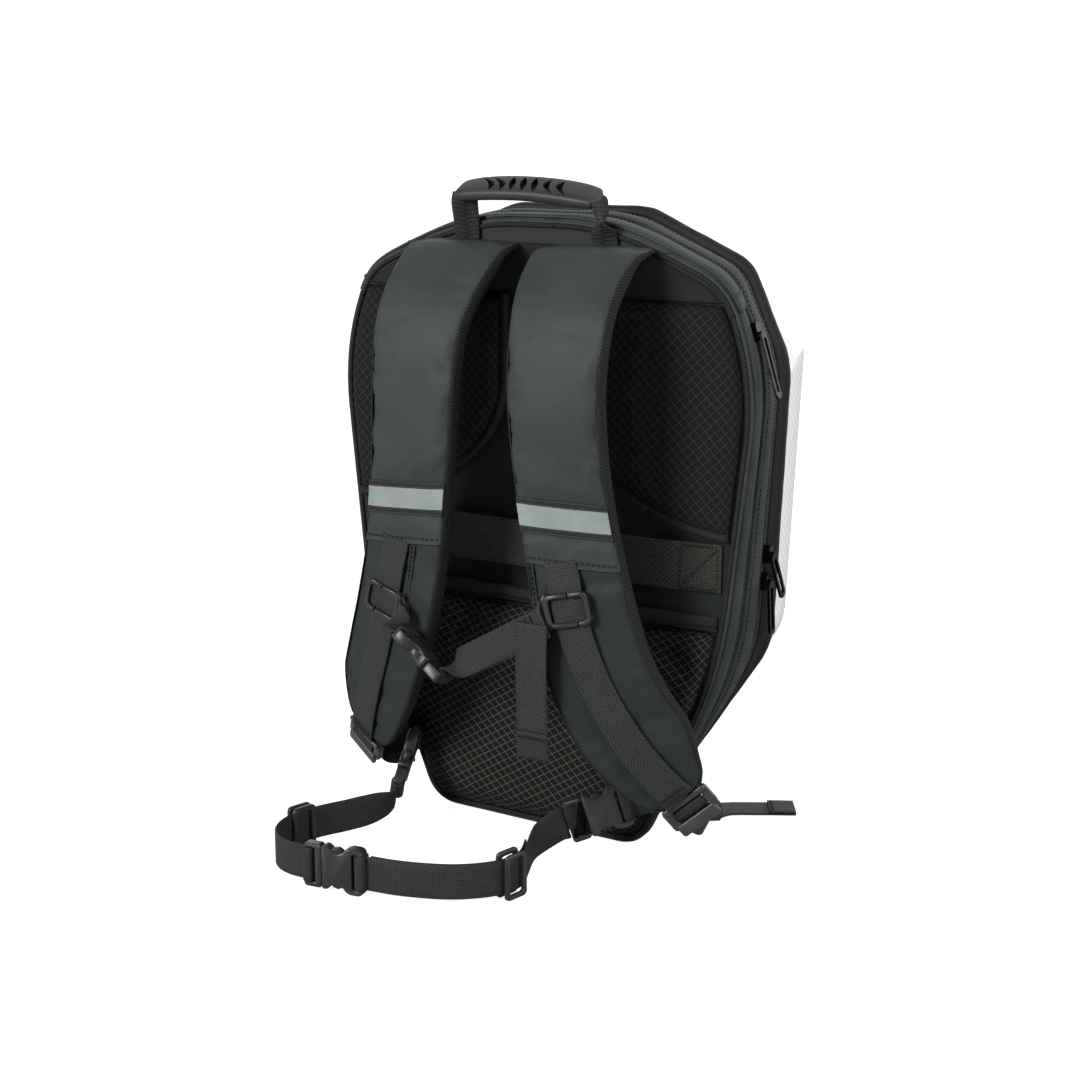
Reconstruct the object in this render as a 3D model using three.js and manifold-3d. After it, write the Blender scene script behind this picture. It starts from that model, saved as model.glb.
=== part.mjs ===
// A hard-fronted backpack standing on its base, the wearer's side towards -Y.
// Millimetres, +Z up, origin in the middle of the flat underside of the base.
import * as THREE from 'three';
import { mergeVertices } from 'three/addons/utils/BufferGeometryUtils.js';
import Module from 'manifold-3d';

const wasm = await Module();
wasm.setup();

// Driving dimensions
const GAP = 0.3; // clearance between neighbouring pieces
const BACK_Y = -60; // wearer's face of the back panel
const RIM_Y = 5; // front edge of the rim binding
const WALL = 2.5; // leatherette walls
const PANEL = 3; // back panel thickness
const EDGE = 5.2; // from the rear outline in to the edge of the back panel
const PAD_EDGE = 7; // from the rear outline in to the edge of the mesh pads
const PAD_FACE = -69; // wearer's face of the mesh pads
const WEB = 25; // webbing width
const WEB_THICK = 1.6;
const ARC_STEPS = 4; // segments in each rounded corner
const BASE = { x: 72, y: 37, height: 5.6, corner: 14 };

// Right half of the two main outlines, from the top down; cut is the length that the rounding takes off.
const REAR_CORNERS = [
  { x: 60, z: 453, cut: 45 }, // top
  { x: 148, z: 415, cut: 22 }, // shoulder
  { x: 173, z: 352, cut: 45 }, // side
  { x: 152, z: 150, cut: 45 }, // hip
  { x: 91, z: 2.5, cut: 20 }, // foot
];
const RIM_CORNERS = [
  { x: 56, z: 460, cut: 8 },
  { x: 135.5, z: 425, cut: 12 },
  { x: 167, z: 357, cut: 14 },
  { x: 160, z: 152, cut: 16 },
  { x: 70, z: 14, cut: 16 },
];
// Outline of the shell where it is widest
const SHELL_CORNERS = [
  { x: 54, z: 448, cut: 8 },
  { x: 121, z: 420, cut: 10 },
  { x: 163, z: 367, cut: 8 },
  { x: 155, z: 160, cut: 14 },
  { x: 67, z: 24, cut: 14 },
];

// Depth of each ring of the side wall, from the back to the front
const STRIP = { from: -57.4, to: -45.3 };
const REAR_ZIP = { from: -45, to: -39 };
const GUSSET = { from: -38.7, to: -20 };
const MAIN_ZIP = { from: -19.7, to: -12.6 };
const RIM = { from: -12.3, to: RIM_Y };

// Shell sections from its widest place to the front: depth, and size against the widest outline
const SHELL_CENTRE_Z = 190;
const SHELL_EDGE = 2; // from the rim outline in to the edge of the shell
const SHELL_SECTIONS = [
  { y: 40, size: 1 },
  { y: 64, size: 0.83 },
  { y: 84, size: 0.63 },
];
const SHELL_WALL = 2.6;
const WINDOW = { size: 0.57, thick: 1.6 };

// Outer face of a shoulder strap, from the yoke seam down to its tip; twist turns its outer edge back
const STRAP_ROWS = [
  { x: 54, y: -63.1, z: 438, width: 82, thick: 4, twist: 0 },
  { x: 53, y: -85, z: 435, width: 81, thick: 8, twist: 0 },
  { x: 53, y: -102, z: 424, width: 79, thick: 12, twist: 0 },
  { x: 54, y: -119, z: 406, width: 76, thick: 13, twist: 0 },
  { x: 56, y: -131, z: 382, width: 73, thick: 13, twist: 1 },
  { x: 57, y: -137, z: 345, width: 71, thick: 13, twist: 2 },
  { x: 60, y: -136, z: 300, width: 70, thick: 13, twist: 3 },
  { x: 65, y: -133, z: 260, width: 70, thick: 13, twist: 5 },
  { x: 71, y: -130, z: 225, width: 72, thick: 13, twist: 7 },
  { x: 81, y: -128, z: 180, width: 77, thick: 13, twist: 10 },
  { x: 91, y: -125, z: 145, width: 81, thick: 12, twist: 14 },
  { x: 103, y: -118, z: 110, width: 80, thick: 11, twist: 18 },
  { x: 112, y: -109, z: 84, width: 66, thick: 9, twist: 20 },
  { x: 118, y: -102, z: 69, width: 50, thick: 7, twist: 20 },
  { x: 120, y: -99, z: 63, width: 36, thick: 6, twist: 20 },
];
// Heights that belong to a strap's fittings
const BAND_Z = { from: 267, to: 252 };
const HEM_Z = 226;
const LOCK = { length: 24, width: 38, thick: 5, upper: [3.5, 7.5], lower: [10.5, 14.5] };

// What differs between the two straps: the tilt of its band, the webbing's shift across the strap, the chest
// slider's place, and how far the tip swings outwards and leans there
const STRAPS = [
  { name: 'left', side: -1, bandTilt: 4.5, webShift: 5, sliderZ: 181, sway: 10, lean: 8 },
  { name: 'right', side: 1, bandTilt: 0, webShift: -8, sliderZ: 197, sway: 22, lean: 36 },
];
const SWAY_Z = { from: 180, to: 63 };

// Zip pulls on the right side wall
const PULLS = [
  { depth: REAR_ZIP, z: 383, length: 46, tilt: -4 },
  { depth: MAIN_ZIP, z: 224, length: 40, tilt: 30 },
  { depth: MAIN_ZIP, z: 204, length: 40, tilt: 8 },
];
const PULL = { width: 8, wire: 2, heel: 0.8, stand: 6.4 };
const SLIDER = { length: 13, width: 8, thick: 4.5, stand: 0.5 };

// Hip belt: height of its middle line where it stands on edge on the floor
const BELT_Z = 16.9;

// Finishes
function finish(color, roughness, metalness = 0) {
  return new THREE.MeshStandardMaterial({ color, roughness, metalness });
}
const LEATHERETTE = finish(0x4a4f4c, 0.55);
const MESH = finish(0x1d1c1b, 0.9);
const WOVEN = finish(0x232322, 0.85);
const BINDING = finish(0x161616, 0.85);
const PLASTIC = finish(0x1b1c1c, 0.5);
const RUBBER = finish(0x2c2e2d, 0.7);
const REFLECTIVE = finish(0xa8b2b2, 0.4);
const SHELL = finish(0xe3e6e3, 0.35);
const WINDOW_DARK = finish(0x08090a, 0.15);
const METAL = finish(0x151515, 0.3, 0.8);

const v3 = (x, y, z) => new THREE.Vector3(x, y, z);
const v2 = (x, y) => new THREE.Vector2(x, y);
const lerp = THREE.MathUtils.lerp;
const X = v3(1, 0, 0);
const Z = v3(0, 0, 1);

const backpack = new THREE.Group();

function add(name, geometry, material) {
  const mesh = new THREE.Mesh(geometry, material);
  mesh.name = name;
  backpack.add(mesh);
  return mesh;
}

// Closed solids

function indexed(points, triangles) {
  const geometry = new THREE.BufferGeometry();
  const numbers = points.flatMap((p) => p.toArray());
  geometry.setAttribute('position', new THREE.Float32BufferAttribute(numbers, 3));
  const volume = triangles.reduce(
    (sum, [a, b, c]) => sum + points[a].dot(v3().crossVectors(points[b], points[c])), 0);
  geometry.setIndex(triangles.flatMap(([a, b, c]) => (volume > 0 ? [a, b, c] : [a, c, b])));
  return geometry;
}

// Joins sections of equal count. The first and last are capped, or joined to each other when the row closes.
function loft(sections, closes = false) {
  const count = sections[0].length;
  const points = sections.flat();
  const triangles = [];
  const last = closes ? sections.length : sections.length - 1;
  for (let i = 0; i < last; i++) {
    for (let j = 0; j < count; j++) {
      const a = i * count + j;
      const b = i * count + ((j + 1) % count);
      const shift = ((i + 1) % sections.length) * count - i * count;
      triangles.push([a, b, b + shift], [a, b + shift, a + shift]);
    }
  }
  if (!closes) {
    const ends = [[sections[0], 0, false], [sections.at(-1), last * count, true]];
    for (const [section, first, forward] of ends) {
      const middle = points.length;
      points.push(section.reduce((sum, p) => sum.add(p), v3()).divideScalar(count));
      for (let j = 0; j < count; j++) {
        const a = first + j;
        const b = first + ((j + 1) % count);
        triangles.push(forward ? [a, b, middle] : [b, a, middle]);
      }
    }
  }
  return indexed(points, triangles);
}

function toManifold(geometry) {
  const bare = geometry.clone();
  bare.deleteAttribute('normal');
  bare.deleteAttribute('uv');
  const merged = mergeVertices(bare, 1e-4);
  return new wasm.Manifold(new wasm.Mesh({
    numProp: 3,
    vertProperties: new Float32Array(merged.attributes.position.array),
    triVerts: new Uint32Array(merged.index.array),
  }));
}

function fromManifold(solid) {
  const { vertProperties, triVerts } = solid.getMesh();
  const geometry = new THREE.BufferGeometry();
  geometry.setAttribute('position', new THREE.Float32BufferAttribute(vertProperties, 3));
  geometry.setIndex(Array.from(triVerts));
  return geometry;
}

const fuse = (...parts) => fromManifold(parts.map(toManifold).reduce((sum, part) => sum.add(part)));
const cut = (part, ...tools) => fromManifold(
  tools.map(toManifold).reduce((rest, tool) => rest.subtract(tool), toManifold(part)));

// A box given by its centre and size
function box(centre, size) {
  return new THREE.BoxGeometry(...size).translate(...centre);
}

// Outlines

function roundedLoop(corners) {
  const points = corners.map(({ x, z }) => v2(x, z));
  return corners.flatMap(({ cut: length }, i) => {
    const here = points[i];
    const towards = (other) => other.clone().sub(here).setLength(length).add(here);
    const before = towards(points.at(i - 1));
    const after = towards(points[(i + 1) % points.length]);
    return new THREE.QuadraticBezierCurve(before, here, after).getPoints(ARC_STEPS);
  });
}

const mirrored = (corners) => [...corners, ...corners.map((c) => ({ ...c, x: -c.x })).reverse()];
const rearLoop = roundedLoop(mirrored(REAR_CORNERS));
const rimLoop = roundedLoop(mirrored(RIM_CORNERS));
const shellOutline = roundedLoop(mirrored(SHELL_CORNERS));

function outward(loop, i) {
  const along = loop[(i + 1) % loop.length].clone().sub(loop.at(i - 1)).normalize();
  return v2(-along.y, along.x);
}

function offsetLoop(loop, out) {
  return loop.map((p, i) => p.clone().addScaledVector(outward(loop, i), out));
}

// The bag's outline at a depth, moved out from the wall's face
function loopAt(y, out = 0) {
  const share = (y - BACK_Y) / (RIM_Y - BACK_Y);
  return offsetLoop(rearLoop.map((p, i) => p.clone().lerp(rimLoop[i], share)), out);
}

const atDepth = (loop, y) => loop.map((p) => v3(p.x, y, p.y));

// The place and outward direction on the right side wall at a depth and height
function sidePoint(y, z, out) {
  const loop = loopAt(y, out);
  const i = loop.findIndex((p, k) => p.x > 0 && p.y >= z && loop[k + 1].y < z);
  const share = (loop[i].y - z) / (loop[i].y - loop[i + 1].y);
  const p = loop[i].clone().lerp(loop[i + 1], share);
  const normal = outward(loop, i).lerp(outward(loop, i + 1), share).normalize();
  return { point: v3(p.x, y, p.y), normal: v3(normal.x, 0, normal.y) };
}

// Half width of the back, inside the rear outline, at a height
function halfWidth(z, inset) {
  const loop = offsetLoop(rearLoop, -inset);
  const i = loop.findIndex((p, k) => p.x > 0 && p.y >= z && loop[k + 1].y < z);
  return lerp(loop[i].x, loop[i + 1].x, (loop[i].y - z) / (loop[i].y - loop[i + 1].y));
}

// A ring of the side wall; its section is a list of depths and distances out from the wall's face
function ring(section) {
  const columns = section.map(({ y, out }) => atDepth(loopAt(y, out), y));
  return loft(columns[0].map((_, i) => columns.map((column) => column[i])), true);
}

// The same section along a part of the wall only
function arch(section, first, count) {
  const columns = section.map(({ y, out }) => atDepth(loopAt(y, out), y));
  const rows = Array.from({ length: count }, (_, i) => columns.map((column) => column.at(first + i)));
  return loft(rows);
}

// A plain strip of wall, swelling by bulge half way between its seams
function wallSection({ from, to }, bulge, sunk = 0) {
  const middle = (from + to) / 2;
  return [
    { y: from, out: -sunk },
    { y: middle, out: bulge - sunk },
    { y: to, out: -sunk },
    { y: to, out: -sunk - WALL },
    { y: from, out: -sunk - WALL },
  ];
}

// Flat pads and plates on the back

// A pad on the back panel: its outline steps in towards the wearer's face
function pad(outline, levels) {
  return loft(levels.map(({ y, inset }) => atDepth(offsetLoop(outline, -inset), y)));
}

const PAD_LEVELS = [
  { y: BACK_Y - GAP, inset: 0 },
  { y: -65, inset: 0 },
  { y: -67.6, inset: 3 },
  { y: PAD_FACE, inset: 10 },
];

function plate(outline, from, to) {
  return loft([atDepth(outline, from), atDepth(outline, to)]);
}

// Straps and webbing

// A flat ribbon along a curve. across gives the direction of its width from the share of the length and the
// direction of the route there.
function ribbon(route, across, width = WEB, thick = WEB_THICK, steps = 2 * route.length) {
  const curve = new THREE.CatmullRomCurve3(route, false, 'centripetal');
  const rows = [];
  for (let i = 0; i <= steps; i++) {
    const share = i / steps;
    const along = curve.getTangent(share);
    const wide = across(share, along).clone();
    wide.addScaledVector(along, -wide.dot(along)).setLength(width / 2);
    const deep = v3().crossVectors(along, wide).setLength(thick / 2);
    const middle = curve.getPoint(share);
    rows.push([[1, 1], [-1, 1], [-1, -1], [1, -1]].map(
      ([w, d]) => middle.clone().addScaledVector(wide, w).addScaledVector(deep, d)));
  }
  return loft(rows);
}

const turning = (from, to) => (share) => from.clone().lerp(to, share).normalize();
const upright = () => Z;

// How far a strap has swung out at a height, from none to all of it at the tip
const swayShare = (z) => Math.max(0, (SWAY_Z.from - z) / (SWAY_Z.from - SWAY_Z.to)) ** 2;

function strapCurves({ side, sway, lean }) {
  const curve = (column) => new THREE.CatmullRomCurve3(STRAP_ROWS.map(column));
  return {
    side,
    lean,
    face: curve(({ x, y, z }) => v3(side * (x + sway * swayShare(z)), y, z)),
    size: curve(({ width, thick, twist }) => v3(width, thick, twist)),
  };
}

// A strap's face at a share of its length: place, direction down the strap, across it and out of it. Its rows
// are level at the top and square to the strap at the tip.
function strapFrame({ side, lean, face, size }, share) {
  const point = face.getPoint(share);
  const along = face.getTangent(share);
  const { x: width, y: thick, z: twist } = size.getPoint(share);
  const back = THREE.MathUtils.degToRad(twist);
  const swing = swayShare(point.z);
  const rise = THREE.MathUtils.degToRad(lean * swing);
  const level = Math.cos(back) * Math.cos(rise);
  const across = v3(level, side * Math.sin(back), side * Math.cos(back) * Math.sin(rise));
  across.addScaledVector(along, -swing * across.dot(along)).normalize();
  const out = v3().crossVectors(along, across).normalize();
  return { point, along, across, out, width, thick };
}

// Share of the strap's length at which its face is at a height
function strapShare(curves, z) {
  let low = 0;
  let high = 1;
  for (let i = 0; i < 30; i++) {
    const middle = (low + high) / 2;
    if (curves.face.getPoint(middle).z > z) low = middle;
    else high = middle;
  }
  return low;
}

function onStrap({ point, across, out }, w, d) {
  return point.clone().addScaledVector(across, w).addScaledVector(out, d);
}

const STRAP_STEPS = 26;
const STRAP_CROWN = 1.8; // drop of the face at a strap's edges
const STRAP_ROUND = 2;

function strapPad(curves) {
  const rows = Array.from({ length: STRAP_STEPS + 1 }, (_, i) => {
    const frame = strapFrame(curves, i / STRAP_STEPS);
    const half = frame.width / 2;
    const { thick } = frame;
    const section = [
      [-half, -thick / 2],
      [STRAP_ROUND - half, -STRAP_CROWN],
      [-half / 2, 0],
      [half / 2, 0],
      [half - STRAP_ROUND, -STRAP_CROWN],
      [half, -thick / 2],
      [half - STRAP_ROUND, -thick],
      [STRAP_ROUND - half, -thick],
    ];
    return section.map(([w, d]) => onStrap(frame, w, d));
  });
  return loft(rows);
}

// A straight band laid over the strap's crowned face, turned by a tilt in degrees
function strapBand(curves, from, to, tilt) {
  const thick = 1;
  const frame = strapFrame(curves, strapShare(curves, (from + to) / 2));
  const reach = (from - to) / 2 / Math.abs(frame.along.z);
  frame.across.applyAxisAngle(frame.out, THREE.MathUtils.degToRad(tilt));
  const down = v3().crossVectors(frame.across, frame.out);
  const half = frame.width / 2 - STRAP_ROUND;
  const under = [[-half, -STRAP_CROWN], [-half / 2 - 2, 0], [half / 2 + 2, 0], [half, -STRAP_CROWN]];
  const corners = [[-reach, 0], [reach, 0], [reach, thick], [-reach, thick]];
  return loft(under.map(([w, d]) => corners.map(
    ([shift, rise]) => onStrap(frame, w, d + rise + 2 * GAP).addScaledVector(down, shift))));
}

// Plastic fittings, made flat: length along X, webbing width along Y, thickness along Z

function flatPiece(outline, thick) {
  const shape = new THREE.Shape(outline.map(([x, y]) => v2(x, y)));
  return new THREE.ExtrudeGeometry(shape, { depth: thick, bevelEnabled: false }).translate(0, 0, -thick / 2);
}

// The space for a webbing slot right through a flat piece
const webSlot = (from, to) => box([(from + to) / 2, 0, 0], [to - from, WEB + 2, 30]);

function chamfered(x0, x1, half, c) {
  const lower = [[x0, c - half], [x0 + c, -half], [x1 - c, -half], [x1, c - half]];
  return [...lower, ...lower.map(([x, y]) => [x, -y]).reverse()];
}

const BUCKLE = { socket: 32, plug: 20, half: 17, thick: 9, slot: 3.4, bar: 4 };

// The socket of a side-release buckle, open at both sides for the plug's arms
function buckleSocket() {
  const { socket, half, thick, slot, bar } = BUCKLE;
  const body = flatPiece(
    [[0, 4 - half], [4, -half], [socket - 3, 2 - half], [socket, 5 - half],
      [socket, half - 5], [socket - 3, half - 2], [4, half], [0, half - 4]], thick);
  const side = (sign) => box([20, sign * half, 0], [15, 11, thick - 3.2]);
  const mouth = box([socket - 6, 0, 0], [14, 2 * half - 9, thick - 3.2]);
  return cut(body, webSlot(bar, bar + slot), side(1), side(-1), mouth);
}

// The plug: a webbing bar and two arms whose heads fill the socket's side openings
function bucklePlug() {
  const { socket, plug, half, thick, slot, bar } = BUCKLE;
  const flat = thick - 3.2 - 2 * GAP;
  const from = socket + GAP;
  const to = from + plug - 6;
  const blank = flatPiece(chamfered(from, to, half - 1, 3), thick - 1);
  const frame = cut(blank, webSlot(to - bar - slot, to - bar));
  const arm = (sign) => box([socket - 3, sign * (half - 8), 0], [12, 3.2, flat]);
  const head = (sign) => box([20, sign * (half - 3.2), 0], [14.4, 3.6, flat]);
  const elbow = (sign) => box([25, sign * (half - 5.6), 0], [4.4, 7.4, flat]);
  return fuse(frame, ...[1, -1].flatMap((sign) => [arm(sign), head(sign), elbow(sign)]));
}

// A flat loop that the webbing runs through, with a window on each side of its middle bar
function slideLoop(length, opening) {
  const half = WEB / 2 + 4;
  const wall = 1.3;
  const body = flatPiece(chamfered(-length / 2, length / 2, half, 3), opening + 2 * wall);
  const passage = box([0, 0, 0], [length + 2, WEB + 1.6, opening]);
  const window = (sign) => box(
    [sign * length * 0.22, 0, wall + opening / 2], [length * 0.26, WEB - 1, 2 * wall]);
  return cut(body, passage, window(1), window(-1));
}

// A ladder lock: two webbing slots and a lifting lip
function ladderLock() {
  const { length, width, thick, upper, lower } = LOCK;
  const body = flatPiece(chamfered(0, length - 6, width / 2, 3), thick);
  const lip = flatPiece(chamfered(length - 10, length, width / 2 - 4, 3), 3).translate(0, 0, thick / 2);
  return cut(fuse(body, lip), webSlot(...upper), webSlot(...lower));
}

// Turns a flat piece so that its length runs along one direction and its width along another
function place(mesh, origin, along, wide) {
  const x = along.clone().normalize();
  const y = wide.clone().addScaledVector(x, -wide.dot(x)).normalize();
  mesh.quaternion.setFromRotationMatrix(new THREE.Matrix4().makeBasis(x, y, v3().crossVectors(x, y)));
  mesh.position.copy(origin);
}

// A fastened buckle between two points, the socket's end first
function addBuckle(name, from, towards, wide) {
  const along = towards.clone().sub(from);
  place(add(`${name}_socket`, buckleSocket(), PLASTIC), from, along, wide);
  place(add(`${name}_plug`, bucklePlug(), PLASTIC), from, along, wide);
}

const BUCKLE_LENGTH = BUCKLE.socket + BUCKLE.plug - 6 + GAP;

// A point on a buckle's axis, beyond the end that comes first
const beyond = (from, to, distance) => from.clone().add(from.clone().sub(to).setLength(distance));

// Body

function addBody() {
  const panelEdge = offsetLoop(rearLoop, -EDGE);
  add('back_panel', plate(panelEdge, BACK_Y, BACK_Y + PANEL), LEATHERETTE);

  const pipe = { y: BACK_Y, out: -EDGE / 2, radius: EDGE / 2 - GAP };
  const pipeSection = Array.from({ length: 6 }, (_, i) => {
    const angle = (i / 6) * 2 * Math.PI;
    return { y: pipe.y + pipe.radius * Math.cos(angle), out: pipe.out + pipe.radius * Math.sin(angle) };
  });
  add('rear_piping', ring(pipeSection), BINDING);

  add('rear_strip', ring(wallSection(STRIP, 1.2)), LEATHERETTE);
  add('rear_zip', ring(wallSection(REAR_ZIP, 0, 1)), WOVEN);
  add('main_gusset', ring(wallSection(GUSSET, 1.5)), LEATHERETTE);
  add('main_zip', ring(wallSection(MAIN_ZIP, 0, 1)), WOVEN);
  add('rim_binding', ring([
    { y: RIM.from, out: 0 },
    { y: RIM.to - 9, out: 0 },
    { y: RIM.to - 6, out: 1.6 },
    { y: RIM.to, out: 1.6 },
    { y: RIM.to, out: -WALL },
    { y: RIM.from, out: -WALL },
  ]), BINDING);

  // The hood over the rear zip runs from one shoulder, over the top, to the other
  const hood = { from: STRIP.from, to: REAR_ZIP.to - 1, under: 1.2 + GAP, thick: 1.8 };
  const topCorners = 2 * (ARC_STEPS + 1);
  add('zip_garage', arch([
    { y: hood.from, out: hood.under },
    { y: hood.from, out: hood.under + hood.thick },
    { y: hood.to, out: hood.under + hood.thick },
    { y: hood.to, out: hood.under },
  ], -topCorners, 2 * topCorners), LEATHERETTE);

  addShell();

  const { x, y, height, corner } = BASE;
  const footprint = (inset, z) => {
    const corners = [[1, 1], [1, -1], [-1, -1], [-1, 1]].map(
      ([sx, sy]) => ({ x: sx * (x - inset), z: sy * (y - inset), cut: corner - inset }));
    return roundedLoop(corners).map((p) => v3(p.x, p.y, z));
  };
  add('base_panel', loft([footprint(3, 0), footprint(0, 3), footprint(0, height)]), BINDING);
}

function shellLoop(size, y, wall) {
  const centre = v2(0, SHELL_CENTRE_Z);
  const scaled = shellOutline.map((p) => p.clone().sub(centre).multiplyScalar(size).add(centre));
  return atDepth(offsetLoop(scaled, -wall), y);
}

// A bowl of flat facets, open towards the back, with a dark window on its flat front
function addShell() {
  const edge = (wall) => atDepth(offsetLoop(rimLoop, -SHELL_EDGE - wall), RIM_Y + GAP);
  const outer = SHELL_SECTIONS.map(({ size, y }) => shellLoop(size, y, 0));
  const inner = SHELL_SECTIONS.map(({ size, y }) => shellLoop(size, y - SHELL_WALL / 2, SHELL_WALL));
  inner.at(-1).forEach((p) => p.setY(p.y - SHELL_WALL / 2));
  add('front_shell', loft([...inner.reverse(), edge(SHELL_WALL), edge(0), ...outer]), SHELL);
  const front = SHELL_SECTIONS.at(-1).y + GAP;
  const face = (y) => shellLoop(WINDOW.size, y, 0);
  add('led_window', loft([face(front), face(front + WINDOW.thick)]), WINDOW_DARK);
}

function addBack() {
  // Mesh pads: the upper two follow the side edge and sweep round below, the lower one fills the foot
  const TOP_Z = 401;
  const SEAM_Z = 243;
  const INNER_X = 25;
  const edge = (z) => v2(halfWidth(z, PAD_EDGE), z);
  const side = [TOP_Z, 385, 360, 335, 300, 270, SEAM_Z].map(edge);
  const sweep = new THREE.CubicBezierCurve(side.at(-1), v2(110, 246), v2(INNER_X + 6, 272), v2(INNER_X, 335));
  const upper = [...side, ...sweep.getPoints(7).slice(1), v2(INNER_X, TOP_Z)];
  const flipped = (outline) => outline.map((p) => v2(-p.x, p.y)).reverse();
  add('upper_pad_right', pad(upper, PAD_LEVELS), MESH);
  add('upper_pad_left', pad(flipped(upper), PAD_LEVELS), MESH);

  const LOWER_TOP_Z = 174;
  const FOOT_Z = REAR_CORNERS.at(-1).z + PAD_EDGE;
  const lowerHalf = [...[LOWER_TOP_Z, 155, 140, 120, 70, 25].map(edge), v2(82, FOOT_Z + 5), v2(68, FOOT_Z)];
  add('lower_pad', pad([...lowerHalf, ...flipped(lowerHalf)], PAD_LEVELS), MESH);

  const HEM = { from: LOWER_TOP_Z + GAP, to: 186 };
  const hemEdge = [v2(halfWidth(HEM.to, PAD_EDGE), HEM.to), v2(halfWidth(HEM.from, PAD_EDGE), HEM.from)];
  add('lower_hem', plate([...hemEdge, ...flipped(hemEdge)], PAD_FACE + 1, BACK_Y - GAP), LEATHERETTE);

  const YOKE_THICK = 2;
  const yokeSide = [437, 425, 414, TOP_Z + 1].map(edge);
  const yoke = plate([...yokeSide, ...flipped(yokeSide)], BACK_Y - GAP - YOKE_THICK, BACK_Y - GAP);
  add('yoke_patch', yoke, WOVEN);

  // The band lies flat at its sewn ends and stands clear of the panel between them
  const BAND = { z: 220, width: 35, thick: 1.8, end: 150, stand: -67 };
  const flat = BACK_Y - 2 * GAP - BAND.thick / 2;
  const half = [
    v3(BAND.end, flat, BAND.z),
    v3(138, flat, BAND.z),
    v3(126, flat - 1.5, BAND.z),
    v3(110, BAND.stand, BAND.z),
    v3(60, BAND.stand, BAND.z),
  ];
  const route = [...half.map((p) => v3(-p.x, p.y, p.z)), ...half.reverse()];
  add('luggage_band', ribbon(route, upright, BAND.width, BAND.thick, 22), WOVEN);
}

function addHandle() {
  const GRIP = { x: -4, half: 57, z: 467, rise: 9, y: -67, deep: 25, thick: 12 };
  const rows = [];
  const steps = 12;
  for (let i = 0; i <= steps; i++) {
    const share = (2 * i) / steps - 1;
    const taper = Math.sqrt(1 - 0.5 * share ** 6);
    const height = GRIP.z + GRIP.rise * (1 - share ** 2);
    rows.push(Array.from({ length: 10 }, (_, k) => {
      const angle = (k / 10) * 2 * Math.PI;
      const squared = (value) => Math.sign(value) * Math.abs(value) ** 0.7;
      return v3(
        GRIP.x + GRIP.half * share,
        GRIP.y + (GRIP.deep / 2) * taper * squared(Math.cos(angle)),
        height + (GRIP.thick / 2) * taper * squared(Math.sin(angle)));
    }));
  }
  add('handle_grip', loft(rows), RUBBER);
  // Each web rises from the back panel over the piping and twists to lie under the depth of the grip
  const WEBS = [
    { name: 'left', foot: -57, middle: -56, top: -57.5, topZ: 462.8, twist: v3(0, 1, 0) },
    { name: 'right', foot: 55.5, middle: 54.5, top: 49, topZ: 463, twist: v3(0, -1, 0) },
  ];
  for (const { name, foot, middle, top, topZ, twist } of WEBS) {
    const route = [v3(foot, -62.3, 440.6), v3(middle, -63.9, 446), v3(top, -66.5, 456), v3(top, -67, topZ)];
    const across = (share) => X.clone().lerp(twist, THREE.MathUtils.smoothstep(share, 0.6, 1));
    add(`handle_web_${name}`, ribbon(route, across, 20, WEB_THICK, 12), WOVEN);
  }
}

function addStrap(strap) {
  const { name, side, bandTilt, webShift, sliderZ } = strap;
  const curves = strapCurves(strap);
  add(`strap_pad_${name}`, strapPad(curves), LEATHERETTE);
  add(`reflective_band_${name}`, strapBand(curves, BAND_Z.from, BAND_Z.to, bandTilt), REFLECTIVE);

  // Webbing down the face of the strap, lifted where the chest slider runs under it
  const from = strapShare(curves, HEM_Z);
  const atSlider = strapShare(curves, sliderZ);
  const LIFT = { flat: 1.3, slider: 3.6, reach: 0.06 };
  const shiftAt = (share) => side * webShift * (1 - (share - from) / (1 - from));
  const liftAt = (share) => {
    const away = (share - atSlider) / LIFT.reach;
    return lerp(LIFT.flat, LIFT.slider, Math.exp(-(away ** 2)));
  };
  const steps = 14;
  const route = Array.from({ length: steps + 1 }, (_, i) => {
    const share = lerp(from, 0.995, i / steps);
    return onStrap(strapFrame(curves, share), shiftAt(share), liftAt(share));
  });
  const acrossAt = (share) => strapFrame(curves, lerp(from, 0.995, share)).across;
  add(`strap_webbing_${name}`, ribbon(route, acrossAt, WEB, WEB_THICK, 22), WOVEN);

  const atLoop = strapFrame(curves, atSlider);
  const slider = add(`sternum_slider_${name}`, slideLoop(24, WEB_THICK + 5 * GAP), PLASTIC);
  const webAt = onStrap(atLoop, shiftAt(atSlider), liftAt(atSlider));
  place(slider, webAt, atLoop.along, atLoop.across.clone());

  // The lock hangs from the tip of the strap; the lower webbing turns back from it to the foot of the bag
  const tip = strapFrame(curves, 1);
  const lockStart = onStrap(tip, 0, -tip.thick / 2).addScaledVector(tip.along, 1);
  place(add(`ladder_lock_${name}`, ladderLock(), PLASTIC), lockStart, tip.along, tip.across);
  const turn = lockStart.clone().addScaledVector(tip.along, LOCK.lower[1] - 2).addScaledVector(tip.out, -2.8);
  const FOOT = { x: 115, y: -54, z: 40 };
  const lower = [turn, turn.clone().addScaledVector(tip.along, 6).addScaledVector(tip.out, -7),
    v3(side * (FOOT.x + 14), FOOT.y - 13, FOOT.z), v3(side * FOOT.x, FOOT.y, FOOT.z)];
  const acrossLock = tip.across.clone().multiplyScalar(side);
  add(`lower_webbing_${name}`, ribbon(lower, turning(acrossLock, v3(0, 0.5, 1))), WOVEN);
}

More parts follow.
